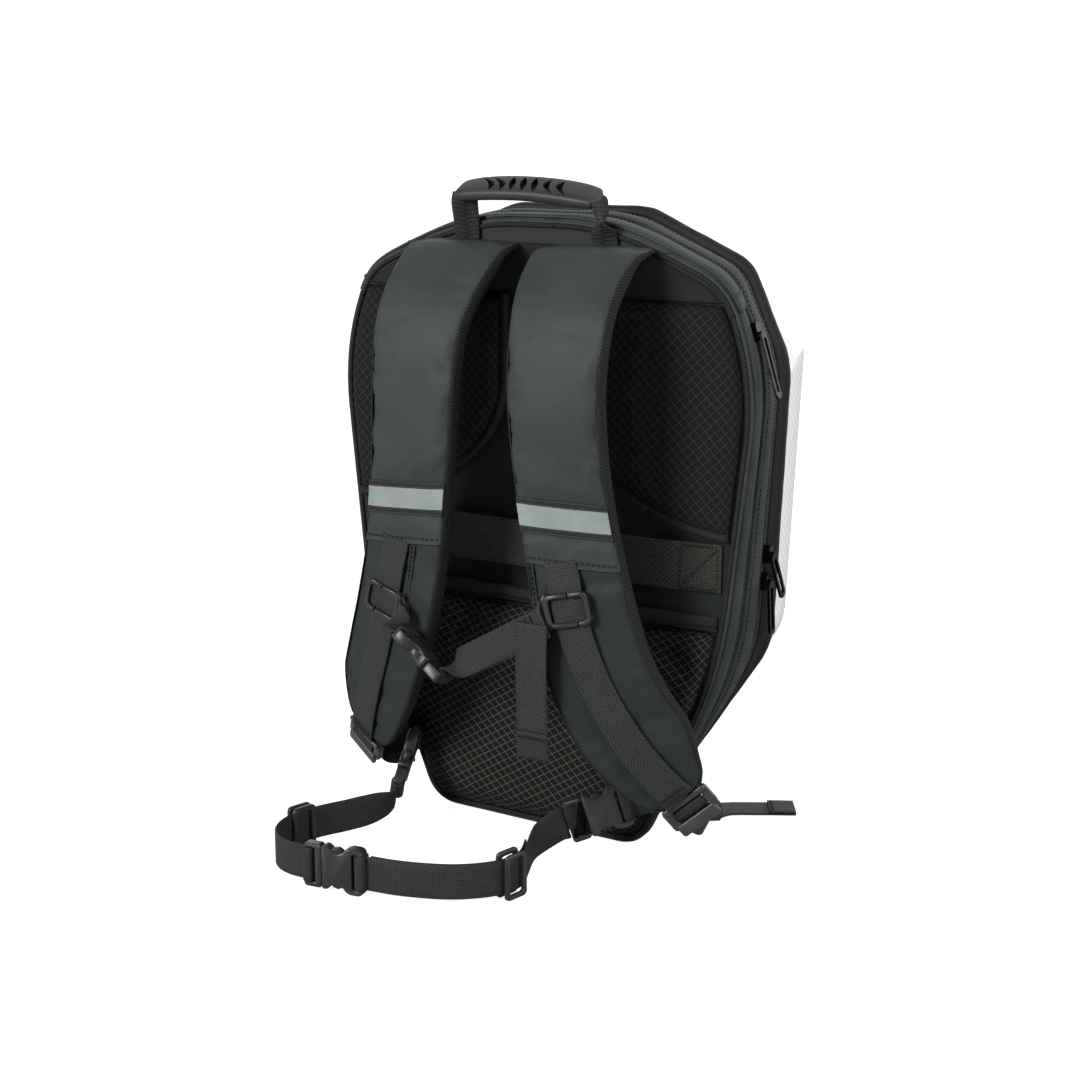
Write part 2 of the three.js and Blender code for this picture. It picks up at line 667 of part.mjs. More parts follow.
// The chest strap, fastened and hanging slack between the two sliders
function addChestStrap() {
  const from = v3(-56, -151, 166);
  const towards = v3(-12, -151, 131);
  const edgeOn = v3(-0.235, 0.926, -0.296);
  addBuckle('chest_buckle', from, towards, edgeOn);
  const left = [
    v3(-69, -137.6, 174),
    v3(-67, -145, 173.5),
    beyond(from, towards, 6),
    beyond(from, towards, 0.6),
  ];
  add('chest_web_left', ribbon(left, turning(v3(0.2, 0.4, 0.9), edgeOn), 22), WOVEN);

  // The right half runs straight into the plug's slot, square to its flat face
  const axis = towards.clone().sub(from).normalize();
  const square = v3().crossVectors(axis, edgeOn).normalize();
  const slotAt = BUCKLE_LENGTH - BUCKLE.bar - BUCKLE.slot / 2;
  const end = from.clone().addScaledVector(axis, slotAt).addScaledVector(square, BUCKLE.thick / 2 + GAP);
  const right = [v3(55, -139.1, 187), v3(38, -141, 177), v3(10, -142.5, 160.5), v3(-8, -145.5, 150), end];
  const facing = v3(-0.45, 0.1, 0.87);
  const rightAcross = (share) => facing.clone().lerp(edgeOn, THREE.MathUtils.smoothstep(share, 0.7, 1));
  add('chest_web_right', ribbon(right, rightAcross, 22, WEB_THICK, 16), WOVEN);
  const tail = [v3(47, -144, 186), v3(47, -144.6, 160), v3(47, -143, 120), v3(47.5, -142, 88)];
  add('chest_tail', ribbon(tail, () => X), WOVEN);
}

// The hip belt: a tab and a buckle on each side, and webbing on edge round the floor to a fastened buckle
function addHipBelt() {
  const rightFrom = v3(90, -79, 44);
  const rightTo = v3(52.5, -109, 29);
  const tabRight = [
    v3(108.5, -66.2, 46.5),
    v3(102, -71.6, 47.5),
    beyond(rightFrom, rightTo, 6),
    beyond(rightFrom, rightTo, 1),
  ];
  add('hip_tab_right', ribbon(tabRight, upright, WEB, 2.4), WOVEN);
  addBuckle('hip_buckle_right', rightFrom, rightTo, Z);

  // The left buckle hangs edge-on from a short tab on the edge of the pad
  const edgeOn = v3(0.46, -0.63, 0.5);
  const leftFrom = v3(-95, -82, 60);
  const leftTo = v3(-90, -112, 30);
  const tabLeft = [
    beyond(leftFrom, leftTo, 9).add(v3(-1, -2.6, 0)),
    beyond(leftFrom, leftTo, 6),
    beyond(leftFrom, leftTo, 0.6),
  ];
  add('hip_tab_left', ribbon(tabLeft, () => edgeOn, 25, 3), WOVEN);
  addBuckle('hip_buckle_left', leftFrom, leftTo, edgeOn);

  const endOf = (from, to, extra) => beyond(from, to, -BUCKLE_LENGTH - extra);
  const floor = (x, y) => v3(x, y, BELT_Z);
  const middleFrom = v3(-33, -231, BUCKLE.half + GAP);
  const middleTo = v3(-82, -238, BUCKLE.half + GAP);
  addBuckle('belt_buckle', middleFrom, middleTo, Z);

  const right = [
    endOf(rightFrom, rightTo, 0.6),
    endOf(rightFrom, rightTo, 6),
    v3(42, -128, 20),
    floor(48, -149),
    floor(55, -168),
    floor(51, -188),
    floor(29, -211),
    floor(-6, -226),
    beyond(middleFrom, middleTo, 0.6).setZ(BELT_Z),
  ];
  add('belt_web_right', ribbon(right, upright), WOVEN);

  // The doubled end of the right half lies against its inner side, from the slide loop to the middle buckle
  const FOLD = 2.2;
  const curve = new THREE.CatmullRomCurve3(right, false, 'centripetal');
  const fold = Array.from({ length: 9 }, (_, i) => {
    const share = lerp(0.36, 0.985, i / 8);
    const inward = v3().crossVectors(curve.getTangent(share), Z).normalize();
    return curve.getPoint(share).addScaledVector(inward, FOLD);
  });
  add('belt_fold', ribbon(fold, upright), WOVEN);

  const left = [
    endOf(middleFrom, middleTo, 0.6),
    floor(-94, -237),
    floor(-108, -232),
    floor(-119, -220),
    floor(-124, -200),
    floor(-118, -175),
    floor(-106, -150),
    v3(-97, -132, 18),
    endOf(leftFrom, leftTo, 7),
    endOf(leftFrom, leftTo, 0.6),
  ];
  const leftAcross = (share) => Z.clone().lerp(edgeOn, THREE.MathUtils.smoothstep(share, 0.7, 1)).normalize();
  add('belt_web_left', ribbon(left, leftAcross), WOVEN);

  const slide = (name, route, share, layers, aside) => {
    const line = new THREE.CatmullRomCurve3(route, false, 'centripetal');
    const along = line.getTangent(share);
    const inward = v3().crossVectors(along, Z).normalize();
    const opening = layers * (WEB_THICK + 1.2) + 1.8;
    const loop = add(name, slideLoop(20, opening), PLASTIC);
    place(loop, line.getPoint(share).addScaledVector(inward, aside), along, Z);
  };
  slide('triglide_right', right, 0.57, 2, FOLD / 2);
  slide('triglide_left', left, 0.5, 1, 0);
}

// The free end of the right strap: out behind the lock, down to the floor and out to the side
function addTail() {
  const route = [
    v3(149.7, -85.8, 48.3),
    v3(152.1, -81, 43.4),
    v3(150.5, -71, 40.5),
    v3(144.5, -58, 37.5),
    v3(135, -38, 29),
    v3(122, -14, 14),
    v3(109, 8, 4),
    v3(103, 25, 1.3),
    v3(110, 42, 1.3),
    v3(132, 57, 1.3),
    v3(156, 71, 1.3),
  ];
  const inLock = v3(0.7, 0.3, 0.64);
  const onEdge = v3(0.35, 0.3, 0.88);
  const across = (share, along) => {
    const flat = v3().crossVectors(along, Z).normalize();
    const hanging = inLock.clone().lerp(onEdge, THREE.MathUtils.smoothstep(share, 0, 0.2));
    return hanging.lerp(flat, THREE.MathUtils.smoothstep(share, 0.3, 0.65));
  };
  add('strap_tail_right', ribbon(route, across), WOVEN);
}

function addZips() {
  PULLS.forEach(({ depth, z, length, tilt }, i) => {
    const y = (depth.from + depth.to) / 2;
    const foot = sidePoint(y, z, SLIDER.stand + SLIDER.thick / 2);
    const hang = sidePoint(y, z, PULL.stand);
    const down = v3(foot.normal.z, 0, -foot.normal.x);
    const slider = add(`zip_slider_${i + 1}`,
      flatPiece(chamfered(-SLIDER.length / 2, SLIDER.length / 2, SLIDER.width / 2, 2), SLIDER.thick), METAL);
    place(slider, foot.point, down, v3(0, 1, 0));

    // A pull lies on the wall where the wall spreads downwards, and hangs plumb where it draws in
    const { width, wire, heel } = PULL;
    const eye = box([length / 2, 0, 0], [length - 4 * wire, width - 2 * wire, 3 * wire]);
    const loop = cut(flatPiece(chamfered(-heel, length, width / 2, 2), wire), eye);
    const plumb = down.x > 0 ? down.clone() : Z.clone().negate();
    const lean = plumb.applyAxisAngle(foot.normal, THREE.MathUtils.degToRad(tilt));
    place(add(`zip_pull_${i + 1}`, loop, METAL), hang.point, lean, v3(0, 1, 0));
  });
}

addBody();
addBack();
addHandle();
STRAPS.forEach(addStrap);
addTail();
addChestStrap();
addHipBelt();
addZips();

export default backpack;
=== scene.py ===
"""A hard-fronted LED backpack standing on its base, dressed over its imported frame."""

import math

import bmesh
import bpy
import numpy as np
from mathutils import Matrix, Vector, noise


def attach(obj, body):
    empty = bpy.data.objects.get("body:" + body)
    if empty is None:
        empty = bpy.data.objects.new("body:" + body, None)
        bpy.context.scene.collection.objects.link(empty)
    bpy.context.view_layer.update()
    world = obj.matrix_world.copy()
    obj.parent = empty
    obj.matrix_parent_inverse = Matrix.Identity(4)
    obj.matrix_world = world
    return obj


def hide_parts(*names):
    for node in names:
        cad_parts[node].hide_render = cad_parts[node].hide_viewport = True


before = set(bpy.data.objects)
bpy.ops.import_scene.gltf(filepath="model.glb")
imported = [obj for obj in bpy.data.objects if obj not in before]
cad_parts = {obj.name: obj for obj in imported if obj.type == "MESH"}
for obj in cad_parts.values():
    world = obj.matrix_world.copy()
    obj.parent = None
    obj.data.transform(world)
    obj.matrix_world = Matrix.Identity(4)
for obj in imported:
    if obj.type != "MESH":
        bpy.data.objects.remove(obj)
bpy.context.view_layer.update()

# Sizes in millimetres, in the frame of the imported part
MM = 0.001
BACK_Y = -60.0  # wearer's face of the back panel
RIM_Y = 5.0  # front edge of the rim
WALL = 2.5  # thickness of the side walls
PANEL = 3.0  # thickness of the back panel
PANEL_EDGE = 5.4  # from the rear outline in to the edge of the back panel
PAD_EDGE = 7.0  # from the rear outline in to the edge of the pads
PAD_FACE = -69.0  # wearer's face of the pads
WEB = 25.0  # width of the webbing
WEB_THICK = 1.6
GAP = 0.3  # between a cover and what it lies on
MIDDLE_Z = 220.0  # height of the middle of the body
ACROSS = np.array([1.0, 0.0, 0.0])
DEEP = np.array([0.0, 1.0, 0.0])
UP = np.array([0.0, 0.0, 1.0])
TO_WEARER = -DEEP
SIDES = (("right", 1), ("left", -1))

# Right half of the outlines from the top down: x, z and the length that the rounding takes off
REAR_CORNERS = [(60, 453, 45), (148, 415, 22), (173, 352, 45), (152, 150, 45), (91, 2.5, 20)]
RIM_CORNERS = [(56, 460, 8), (135.5, 425, 12), (167, 357, 14), (160, 152, 16), (70, 14, 16)]
SHELL_CORNERS = [(54, 448, 8), (121, 420, 10), (163, 367, 8), (155, 160, 14), (67, 24, 14)]

# Depths of the rings of the side wall, from the back to the front
STRIP = (-57.4, -45.3)
REAR_ZIP = (-45.0, -39.0)
GUSSET = (-38.7, -20.0)
MAIN_ZIP = (-19.7, -12.6)
RIM = (-12.3, RIM_Y)
ZIP_TUCK = 0.9  # how far a zip tape reaches under its neighbours

# Shell sections from its widest place to the front: depth, and size against the widest outline
SHELL_CENTRE_Z = 190.0
SHELL_SECTIONS = [(40, 1.0), (64, 0.83), (84, 0.63)]
SHELL_WALL = 2.6
SHELL_EDGE = 2.0  # from the rim outline in to the edge of the shell
WINDOW_SIZE = 0.57

# Outer face of a shoulder strap from the yoke seam to its tip: x, y, z, width, thickness, twist in degrees
STRAP_ROWS = np.array([
    (54, -63.1, 438, 82, 4, 0), (53, -85, 435, 81, 8, 0), (53, -102, 424, 79, 12, 0),
    (54, -119, 406, 76, 13, 0), (56, -131, 382, 73, 13, 1), (57, -137, 345, 71, 13, 2),
    (60, -136, 300, 70, 13, 3), (65, -133, 260, 70, 13, 5), (71, -130, 225, 72, 13, 7),
    (81, -128, 180, 77, 13, 10), (91, -125, 145, 81, 12, 14), (103, -118, 110, 80, 11, 18),
    (112, -109, 84, 66, 9, 20), (118, -102, 69, 50, 7, 20), (120, -99, 63, 36, 6, 20)], float)
SWAY_Z = (180.0, 63.0)  # from here down to here a strap swings out
BAND_Z = (267.0, 252.0)  # reflective band
HEM_Z = 226.0  # lower edge of the upper cover
STRAP_CROWN = 1.8  # drop of the face at a strap's edges
TILT_TOP = (345.0, 290.0)  # heights between which the tilt of the rows about the band sets in
TILT_FOOT = (190.0, 215.0)  # and between which it sets in from below

# What differs between the straps: side, tilt of the band in degrees, the webbing's shift across the strap,
# the height of the chest slider, and how far the tip swings out and leans there
STRAPS = {
    "left": {"side": -1, "tilt": 4.5, "web_shift": 5, "slider_z": 181, "sway": 10, "lean": 8},
    "right": {"side": 1, "tilt": 0.0, "web_shift": -8, "slider_z": 197, "sway": 22, "lean": 36},
}


# Curves

class Route:
    """A smooth line through points, which are evenly shared out along it from 0 to 1."""

    def __init__(self, points):
        self.points = np.asarray(points, float)

    def at(self, share):
        points = self.points
        last = len(points) - 1
        place = min(max(share, 0.0), 1.0) * last
        i = min(int(place), last - 1)
        before = points[i - 1] if i > 0 else 2 * points[0] - points[1]
        after = points[i + 2] if i + 2 <= last else 2 * points[last] - points[last - 1]
        p1, p2 = points[i], points[i + 1]
        gaps = [max(np.linalg.norm(b - a), 1e-6) ** 0.5 for a, b in ((before, p1), (p1, p2), (p2, after))]
        g0, g1, g2 = gaps
        t1 = ((p1 - before) / g0 - (p2 - before) / (g0 + g1) + (p2 - p1) / g1) * g1
        t2 = ((p2 - p1) / g1 - (after - p1) / (g1 + g2) + (after - p2) / g2) * g1
        w = place - i
        return p1 + t1 * w + (3 * (p2 - p1) - 2 * t1 - t2) * w ** 2 + (2 * (p1 - p2) + t1 + t2) * w ** 3

    def along(self, share):
        step = 1e-4
        ahead = self.at(min(share + step, 1.0)) - self.at(max(share - step, 0.0))
        return unit(ahead)

    def even(self, spacing):
        """Shares of the line that lie that far apart, both ends among them."""
        shares = np.linspace(0, 1, 400)
        line = np.array([self.at(s)[:3] for s in shares])
        run = lengths(line)
        count = max(2, int(round(run[-1] / spacing)) + 1)
        return np.interp(np.linspace(0, run[-1], count), run, shares)


def unit(vector):
    return vector / np.linalg.norm(vector)


def smoothstep(value, first, last):
    share = min(max((value - first) / (last - first), 0.0), 1.0)
    return share * share * (3 - 2 * share)


def lengths(line):
    """How far along a line of points each one is."""
    steps = np.linalg.norm(np.diff(line, axis=0), axis=1)
    return np.concatenate([[0], np.cumsum(steps)])


def respaced(line, spacing):
    """The same line with evenly spaced points."""
    line = np.asarray(line, float)
    run = lengths(line)
    count = max(2, int(round(run[-1] / spacing)) + 1)
    even = np.linspace(0, run[-1], count)
    return np.stack([np.interp(even, run, line[:, k]) for k in range(line.shape[1])], axis=1)


def bezier(controls, count):
    """Points on a quadratic or cubic curve."""
    points = np.repeat(np.asarray(controls, float)[None], count, axis=0)
    shares = np.linspace(0, 1, count)[:, None, None]
    while points.shape[1] > 1:
        points = points[:, :-1] * (1 - shares) + points[:, 1:] * shares
    return points[:, 0]


# Outlines of the bag

ARC_POINTS = 9
RUN_POINTS = 16


def rounded_loop(half):
    """A closed outline from its right half, clockwise seen from the wearer, with rounded corners."""
    corners = list(half) + [(-x, z, cut) for x, z, cut in reversed(half)]
    places = np.array([(x, z) for x, z, _ in corners], float)
    arcs = []
    for i, (_, _, cut) in enumerate(corners):
        here = places[i]
        before = here + unit(places[i - 1] - here) * cut
        after = here + unit(places[(i + 1) % len(places)] - here) * cut
        arcs.append(bezier([before, here, after], ARC_POINTS))
    parts = []
    for i, arc in enumerate(arcs):
        following = arcs[(i + 1) % len(arcs)][0]
        shares = np.linspace(0, 1, RUN_POINTS + 2)[1:-1, None]
        parts += [arc, arc[-1] * (1 - shares) + following * shares]
    return np.concatenate(parts)


def outward(loop):
    ahead = np.roll(loop, -1, axis=0) - np.roll(loop, 1, axis=0)
    ahead /= np.linalg.norm(ahead, axis=1)[:, None]
    return np.stack([-ahead[:, 1], ahead[:, 0]], axis=1)


def offset_loop(loop, out):
    return loop + outward(loop) * np.asarray(out).reshape(-1, 1)


REAR_LOOP = rounded_loop(REAR_CORNERS)
RIM_LOOP = rounded_loop(RIM_CORNERS)
SHELL_LOOP = rounded_loop(SHELL_CORNERS)


def loop_at(y, out=0.0):
    """The bag's outline at a depth, moved out from the wall's face."""
    share = (y - BACK_Y) / (RIM_Y - BACK_Y)
    return offset_loop(REAR_LOOP * (1 - share) + RIM_LOOP * share, out)


def at_depth(loop, y):
    return np.stack([loop[:, 0], np.full(len(loop), float(y)), loop[:, 1]], axis=1)


def half_width(z, inset):
    """Half width of the back inside the rear outline at a height."""
    loop = offset_loop(REAR_LOOP, -inset)
    side = loop[loop[:, 0] > 0]
    side = side[np.argsort(side[:, 1])]
    return float(np.interp(z, side[:, 1], side[:, 0]))


# Meshes

def lay_out(mesh, places):
    """Keeps for each corner where it lies on the flat material, in millimetres."""
    layer = mesh.uv_layers.new(name="lay")
    corners = np.zeros(len(mesh.loops), np.int64)
    mesh.loops.foreach_get("vertex_index", corners)
    layer.data.foreach_set("uv", np.asarray(places, np.float32)[corners].ravel())


def make_piece(name, points, faces, finish, lay=None, smooth=True):
    mesh = bpy.data.meshes.new(name)
    mesh.from_pydata((np.asarray(points, float) * MM).tolist(), [], faces)
    if lay is not None:
        lay_out(mesh, lay)
    mesh.materials.append(finish)
    if smooth:
        mesh.shade_smooth()
    piece = bpy.data.objects.new(name, mesh)
    bpy.context.scene.collection.objects.link(piece)
    return piece


def grid_faces(rows, columns, loop_rows=False, loop_columns=False):
    """Quads between rows of points."""
    faces = []
    for i in range(rows if loop_rows else rows - 1):
        k = (i + 1) % rows
        for j in range(columns if loop_columns else columns - 1):
            n = (j + 1) % columns
            faces.append((i * columns + j, i * columns + n, k * columns + n, k * columns + j))
    return faces


def sheet_lay(rows, column):
    """Where each point of a grid lies on the flat material; column is the one that is measured along."""
    count, columns = rows.shape[:2]
    along, across = lengths(rows[:, column]), lengths(rows[count // 2])
    return np.stack([np.repeat(along, columns), np.tile(across, count)], axis=1)


def loft(name, rows, finish, loop_rows=False, loop_columns=True):
    """A skin through rows of points; open rows of closed sections are capped."""
    rows = np.asarray(rows, float)
    count, columns = rows.shape[:2]
    faces = grid_faces(count, columns, loop_rows, loop_columns)
    if loop_columns and not loop_rows:
        faces.append(tuple(range(columns - 1, -1, -1)))
        faces.append(tuple(range((count - 1) * columns, count * columns)))
    return make_piece(name, rows.reshape(-1, 3), faces, finish, sheet_lay(rows, 0))


def facing(points, faces, way):
    """Faces turned so that an open sheet looks that way."""
    a, b, c = (points[[face[k] for face in faces]] for k in range(3))
    if (np.cross(b - a, c - a) @ way).sum() < 0:
        return [tuple(reversed(face)) for face in faces]
    return faces


def face_outwards(piece):
    """Turns every face of a closed piece to the outside."""
    shape = bmesh.new()
    shape.from_mesh(piece.data)
    bmesh.ops.recalc_face_normals(shape, faces=shape.faces)
    shape.to_mesh(piece.data)
    shape.free()
    return piece


def settle_modifiers(piece):
    """Makes the modified shape the piece's own mesh."""
    graph = bpy.context.evaluated_depsgraph_get()
    mesh = bpy.data.meshes.new_from_object(piece.evaluated_get(graph))
    old = piece.data
    piece.modifiers.clear()
    piece.data = mesh
    bpy.data.meshes.remove(old)
    return piece


def crease_smooth(piece, degrees):
    piece.data.shade_smooth()
    piece.data.set_sharp_from_angle(angle=math.radians(degrees))
    return piece


def add_bevel(piece, width, degrees):
    """Rounds the edges that are sharper than an angle."""
    bevel = piece.modifiers.new("edge", "BEVEL")
    bevel.width = width * MM
    bevel.segments = 3
    bevel.limit_method = "ANGLE"
    bevel.angle_limit = math.radians(degrees)
    return bevel


def rounded_edges(piece, width, degrees):
    add_bevel(piece, width, degrees).harden_normals = True
    return settle_modifiers(piece)


def joined(name, pieces):
    """One object from several, which keep their finishes."""
    bpy.ops.object.select_all(action="DESELECT")
    for piece in pieces:
        piece.select_set(True)
    bpy.context.view_layer.objects.active = pieces[0]
    bpy.ops.object.join()
    pieces[0].name = name
    pieces[0].data.name = name
    return pieces[0]


def fit(piece, slot, *nodes):
    """Puts a piece on the bag in place of its plain solids. The slot is not used."""
    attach(piece, "bag")
    if nodes:
        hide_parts(*nodes)
    return piece


def fit_loft(name, rows, finish, slot, *nodes, loop_rows=False, crease=None):
    """A closed piece through rows of sections, fitted at once."""
    piece = face_outwards(loft(name, rows, finish, loop_rows))
    if crease:
        crease_smooth(piece, crease)
    return fit(piece, slot, *nodes)


SWELL_FRAMES = 20


def swell(points, faces, seams, pressure, cap, slack):
    """Points of a cover blown up between its seams by a cloth simulation; cap limits how far one moves."""
    points = np.asarray(points, float)
    mesh = bpy.data.meshes.new("cover")
    mesh.from_pydata((points * MM).tolist(), [], faces)
    cover = bpy.data.objects.new("cover", mesh)
    bpy.context.scene.collection.objects.link(cover)
    held = cover.vertex_groups.new(name="seams")
    held.add([int(i) for i in seams], 1.0, "REPLACE")
    cloth = cover.modifiers.new("cloth", "CLOTH")
    settings = cloth.settings
    settings.quality = 6
    settings.mass = 0.2
    settings.tension_stiffness = 20
    settings.compression_stiffness = 20
    settings.shear_stiffness = 10
    settings.bending_stiffness = 0.6
    settings.use_pressure = True
    settings.uniform_pressure_force = pressure
    settings.vertex_group_mass = "seams"
    settings.shrink_min = -slack
    settings.effector_weights.gravity = 0
    scene = bpy.context.scene
    for step in range(1, SWELL_FRAMES + 1):
        scene.frame_set(step)
    graph = bpy.context.evaluated_depsgraph_get()
    blown = cover.evaluated_get(graph).data
    result = np.zeros(len(blown.vertices) * 3)
    blown.vertices.foreach_get("co", result)
    scene.frame_set(1)
    bpy.data.objects.remove(cover)
    bpy.data.meshes.remove(mesh)
    move = result.reshape(-1, 3) / MM - points
    far = np.linalg.norm(move, axis=1)[:, None]
    move *= np.minimum(1.0, cap / np.maximum(far, 1e-9))
    return points + np.nan_to_num(move)


# Node trees

def screen(red, green, blue):
    """The colour that shows as these screen values, from 0 to 255."""
    return tuple((c / 255 / 12.92) if c < 11 else ((c / 255 + 0.055) / 1.055) ** 2.4
                 for c in (red, green, blue)) + (1.0,)


def node(tree, kind, inputs=None, **settings):
    made = tree.nodes.new(kind)
    for key, value in settings.items():
        setattr(made, key, value)
    for key, value in (inputs or {}).items():
        if isinstance(value, bpy.types.NodeSocket):
            tree.links.new(value, made.inputs[key])
        else:
            made.inputs[key].default_value = value
    return made


def sums(tree, operation, a, b=0.0, c=0.0):
    return node(tree, "ShaderNodeMath", {0: a, 1: b, 2: c}, operation=operation).outputs[0]


def new_group(name, inputs, outputs):
    tree = bpy.data.node_groups.new(name, "ShaderNodeTree")
    for label, default in inputs.items():
        kind = "NodeSocketVector" if default is None else "NodeSocketFloat"
        socket = tree.interface.new_socket(name=label, in_out="INPUT", socket_type=kind)
        if default is not None:
            socket.default_value = default
    for label in outputs:
        tree.interface.new_socket(name=label, in_out="OUTPUT", socket_type="NodeSocketFloat")
    entry = tree.nodes.new("NodeGroupInput").outputs
    exit_sockets = tree.nodes.new("NodeGroupOutput").inputs
    return tree, entry, exit_sockets


def make_weave_group():
    """Over-and-under threads: Across and Along are the thread pitches on the flat material."""
    tree, entry, out = new_group("weave", {"Place": None, "Across": 1.2, "Along": 1.2}, ["Height", "Shade"])
    place = node(tree, "ShaderNodeSeparateXYZ", {0: entry["Place"]}).outputs
    u = sums(tree, "DIVIDE", place[0], entry["Along"])
    v = sums(tree, "DIVIDE", place[1], entry["Across"])
    over = sums(tree, "PINGPONG", sums(tree, "ADD", sums(tree, "FLOOR", u), sums(tree, "FLOOR", v)), 1.0)
    bump_u = sums(tree, "ABSOLUTE", sums(tree, "SINE", sums(tree, "MULTIPLY", u, math.pi)))
    bump_v = sums(tree, "ABSOLUTE", sums(tree, "SINE", sums(tree, "MULTIPLY", v, math.pi)))
    warp = sums(tree, "MULTIPLY", sums(tree, "POWER", bump_v, 0.6), over)
    weft = sums(tree, "MULTIPLY", sums(tree, "POWER", bump_u, 0.6), sums(tree, "SUBTRACT", 1.0, over))
    height = sums(tree, "ADD", warp, weft)
    fuzz = node(tree, "ShaderNodeTexNoise",
                {"Vector": entry["Place"], "Scale": 3.0, "Detail": 3.0}).outputs[0]
    tree.links.new(sums(tree, "MULTIPLY_ADD", fuzz, 0.3, height), out["Height"])
    tree.links.new(sums(tree, "MULTIPLY", height, sums(tree, "ADD", fuzz, 0.5)), out["Shade"])
    return tree


def make_grain_group():
    """Fine pebbled grain with soft large patches; Pebble and Patch are sizes in millimetres."""
    tree, entry, out = new_group("grain", {"Place": None, "Pebble": 0.8, "Patch": 45.0},
                                 ["Height", "Patches"])
    pebble = sums(tree, "DIVIDE", 1.0, entry["Pebble"])
    cells = node(tree, "ShaderNodeTexVoronoi", {"Vector": entry["Place"], "Scale": pebble},
                 feature="SMOOTH_F1").outputs["Distance"]
    rough = node(tree, "ShaderNodeTexNoise",
                 {"Vector": entry["Place"], "Scale": sums(tree, "MULTIPLY", pebble, 0.35), "Detail": 4.0})
    broad = sums(tree, "DIVIDE", 1.0, entry["Patch"])
    patch = node(tree, "ShaderNodeTexNoise", {"Vector": entry["Place"], "Scale": broad, "Detail": 3.0})
    tree.links.new(sums(tree, "SUBTRACT", rough.outputs[0], cells), out["Height"])
    tree.links.new(patch.outputs[0], out["Patches"])
    return tree


def make_net_group():
    """Crossed threads round diamond cells: Rise and Fall are the threads' angles and Pitch their spacing."""
    tree, entry, out = new_group("net", {"Place": None, "Rise": 0.75, "Fall": 0.75, "Pitch": 5.5},
                                 ["Thread", "Ridge"])
    place = node(tree, "ShaderNodeSeparateXYZ", {0: entry["Place"]}).outputs
    bands = []
    for angle in (entry["Rise"], sums(tree, "MULTIPLY", entry["Fall"], -1.0)):
        across = sums(tree, "SUBTRACT", sums(tree, "MULTIPLY", place[1], sums(tree, "COSINE", angle)),
                      sums(tree, "MULTIPLY", place[0], sums(tree, "SINE", angle)))
        share = sums(tree, "FRACT", sums(tree, "DIVIDE", across, entry["Pitch"]))
        bands.append(sums(tree, "ABSOLUTE", sums(tree, "SUBTRACT", share, 0.5)))
    nearest = sums(tree, "MAXIMUM", *bands)
    thread = node(tree, "ShaderNodeMapRange", {0: nearest, 1: 0.42, 2: 0.465, 3: 0.0, 4: 1.0}).outputs[0]
    ridge = sums(tree, "ABSOLUTE", sums(tree, "SINE", sums(tree, "MULTIPLY", nearest, 26.0)))
    tree.links.new(thread, out["Thread"])
    tree.links.new(ridge, out["Ridge"])
    return tree


GROUPS = {"weave": make_weave_group(), "grain": make_grain_group(), "net": make_net_group()}


class Finish:
    """A material being wired: its tree, its shader and the places that its pattern is laid out by."""

    def __init__(self, name, roughness=0.6, **shader):
        self.material = bpy.data.materials.new(name)
        self.material.use_nodes = True
        self.tree = self.material.node_tree
        self.shader = self.tree.nodes["Principled BSDF"]
        self.shader.inputs["Roughness"].default_value = roughness
        for label, value in shader.items():
            self.shader.inputs[label.replace("_", " ").title().replace("Ior", "IOR")].default_value = value

    def solid_place(self):
        """Millimetres in the part's frame."""
        place = node(self.tree, "ShaderNodeTexCoord").outputs["Object"]
        return node(self.tree, "ShaderNodeVectorMath", {0: place, 1: (1000, 1000, 1000)},
                    operation="MULTIPLY").outputs[0]

    def flat_place(self):
        """Millimetres along and across the flat material."""
        return node(self.tree, "ShaderNodeUVMap", uv_map="lay").outputs[0]

    def group(self, name, **inputs):
        return node(self.tree, "ShaderNodeGroup", inputs, node_tree=GROUPS[name]).outputs

    def ramp(self, value, *stops):
        made = node(self.tree, "ShaderNodeValToRGB", {0: value})
        stops_in = made.color_ramp.elements
        while len(stops_in) < len(stops):
            stops_in.new(0.5)
        for stop, (place, colour) in zip(stops_in, stops):
            stop.position = place
            stop.color = colour
        return made.outputs[0]

    def shade(self, value):
        self.tree.links.new(value, self.shader.inputs["Base Color"])

    def gloss(self, value, low, high):
        spread = node(self.tree, "ShaderNodeMapRange", {0: value, 3: low, 4: high}).outputs[0]
        self.tree.links.new(spread, self.shader.inputs["Roughness"])

    def relief(self, height, depth, strength):
        """Bump of that depth in millimetres."""
        bump = node(self.tree, "ShaderNodeBump",
                    {"Height": height, "Distance": depth * MM, "Strength": strength})
        self.tree.links.new(bump.outputs[0], self.shader.inputs["Normal"])


def leatherette_finish(name, low, high, shine):
    made = Finish(name, specular_ior_level=shine)
    grain = made.group("grain", Place=made.solid_place(), Pebble=0.9, Patch=38.0)
    speckled = sums(made.tree, "MULTIPLY_ADD", grain["Height"], 0.3, grain["Patches"])
    made.shade(made.ramp(speckled, (0.25, low), (0.65, high)))
    made.gloss(grain["Patches"], 0.52, 0.68)
    made.relief(grain["Height"], 0.16, 0.5)
    return made.material


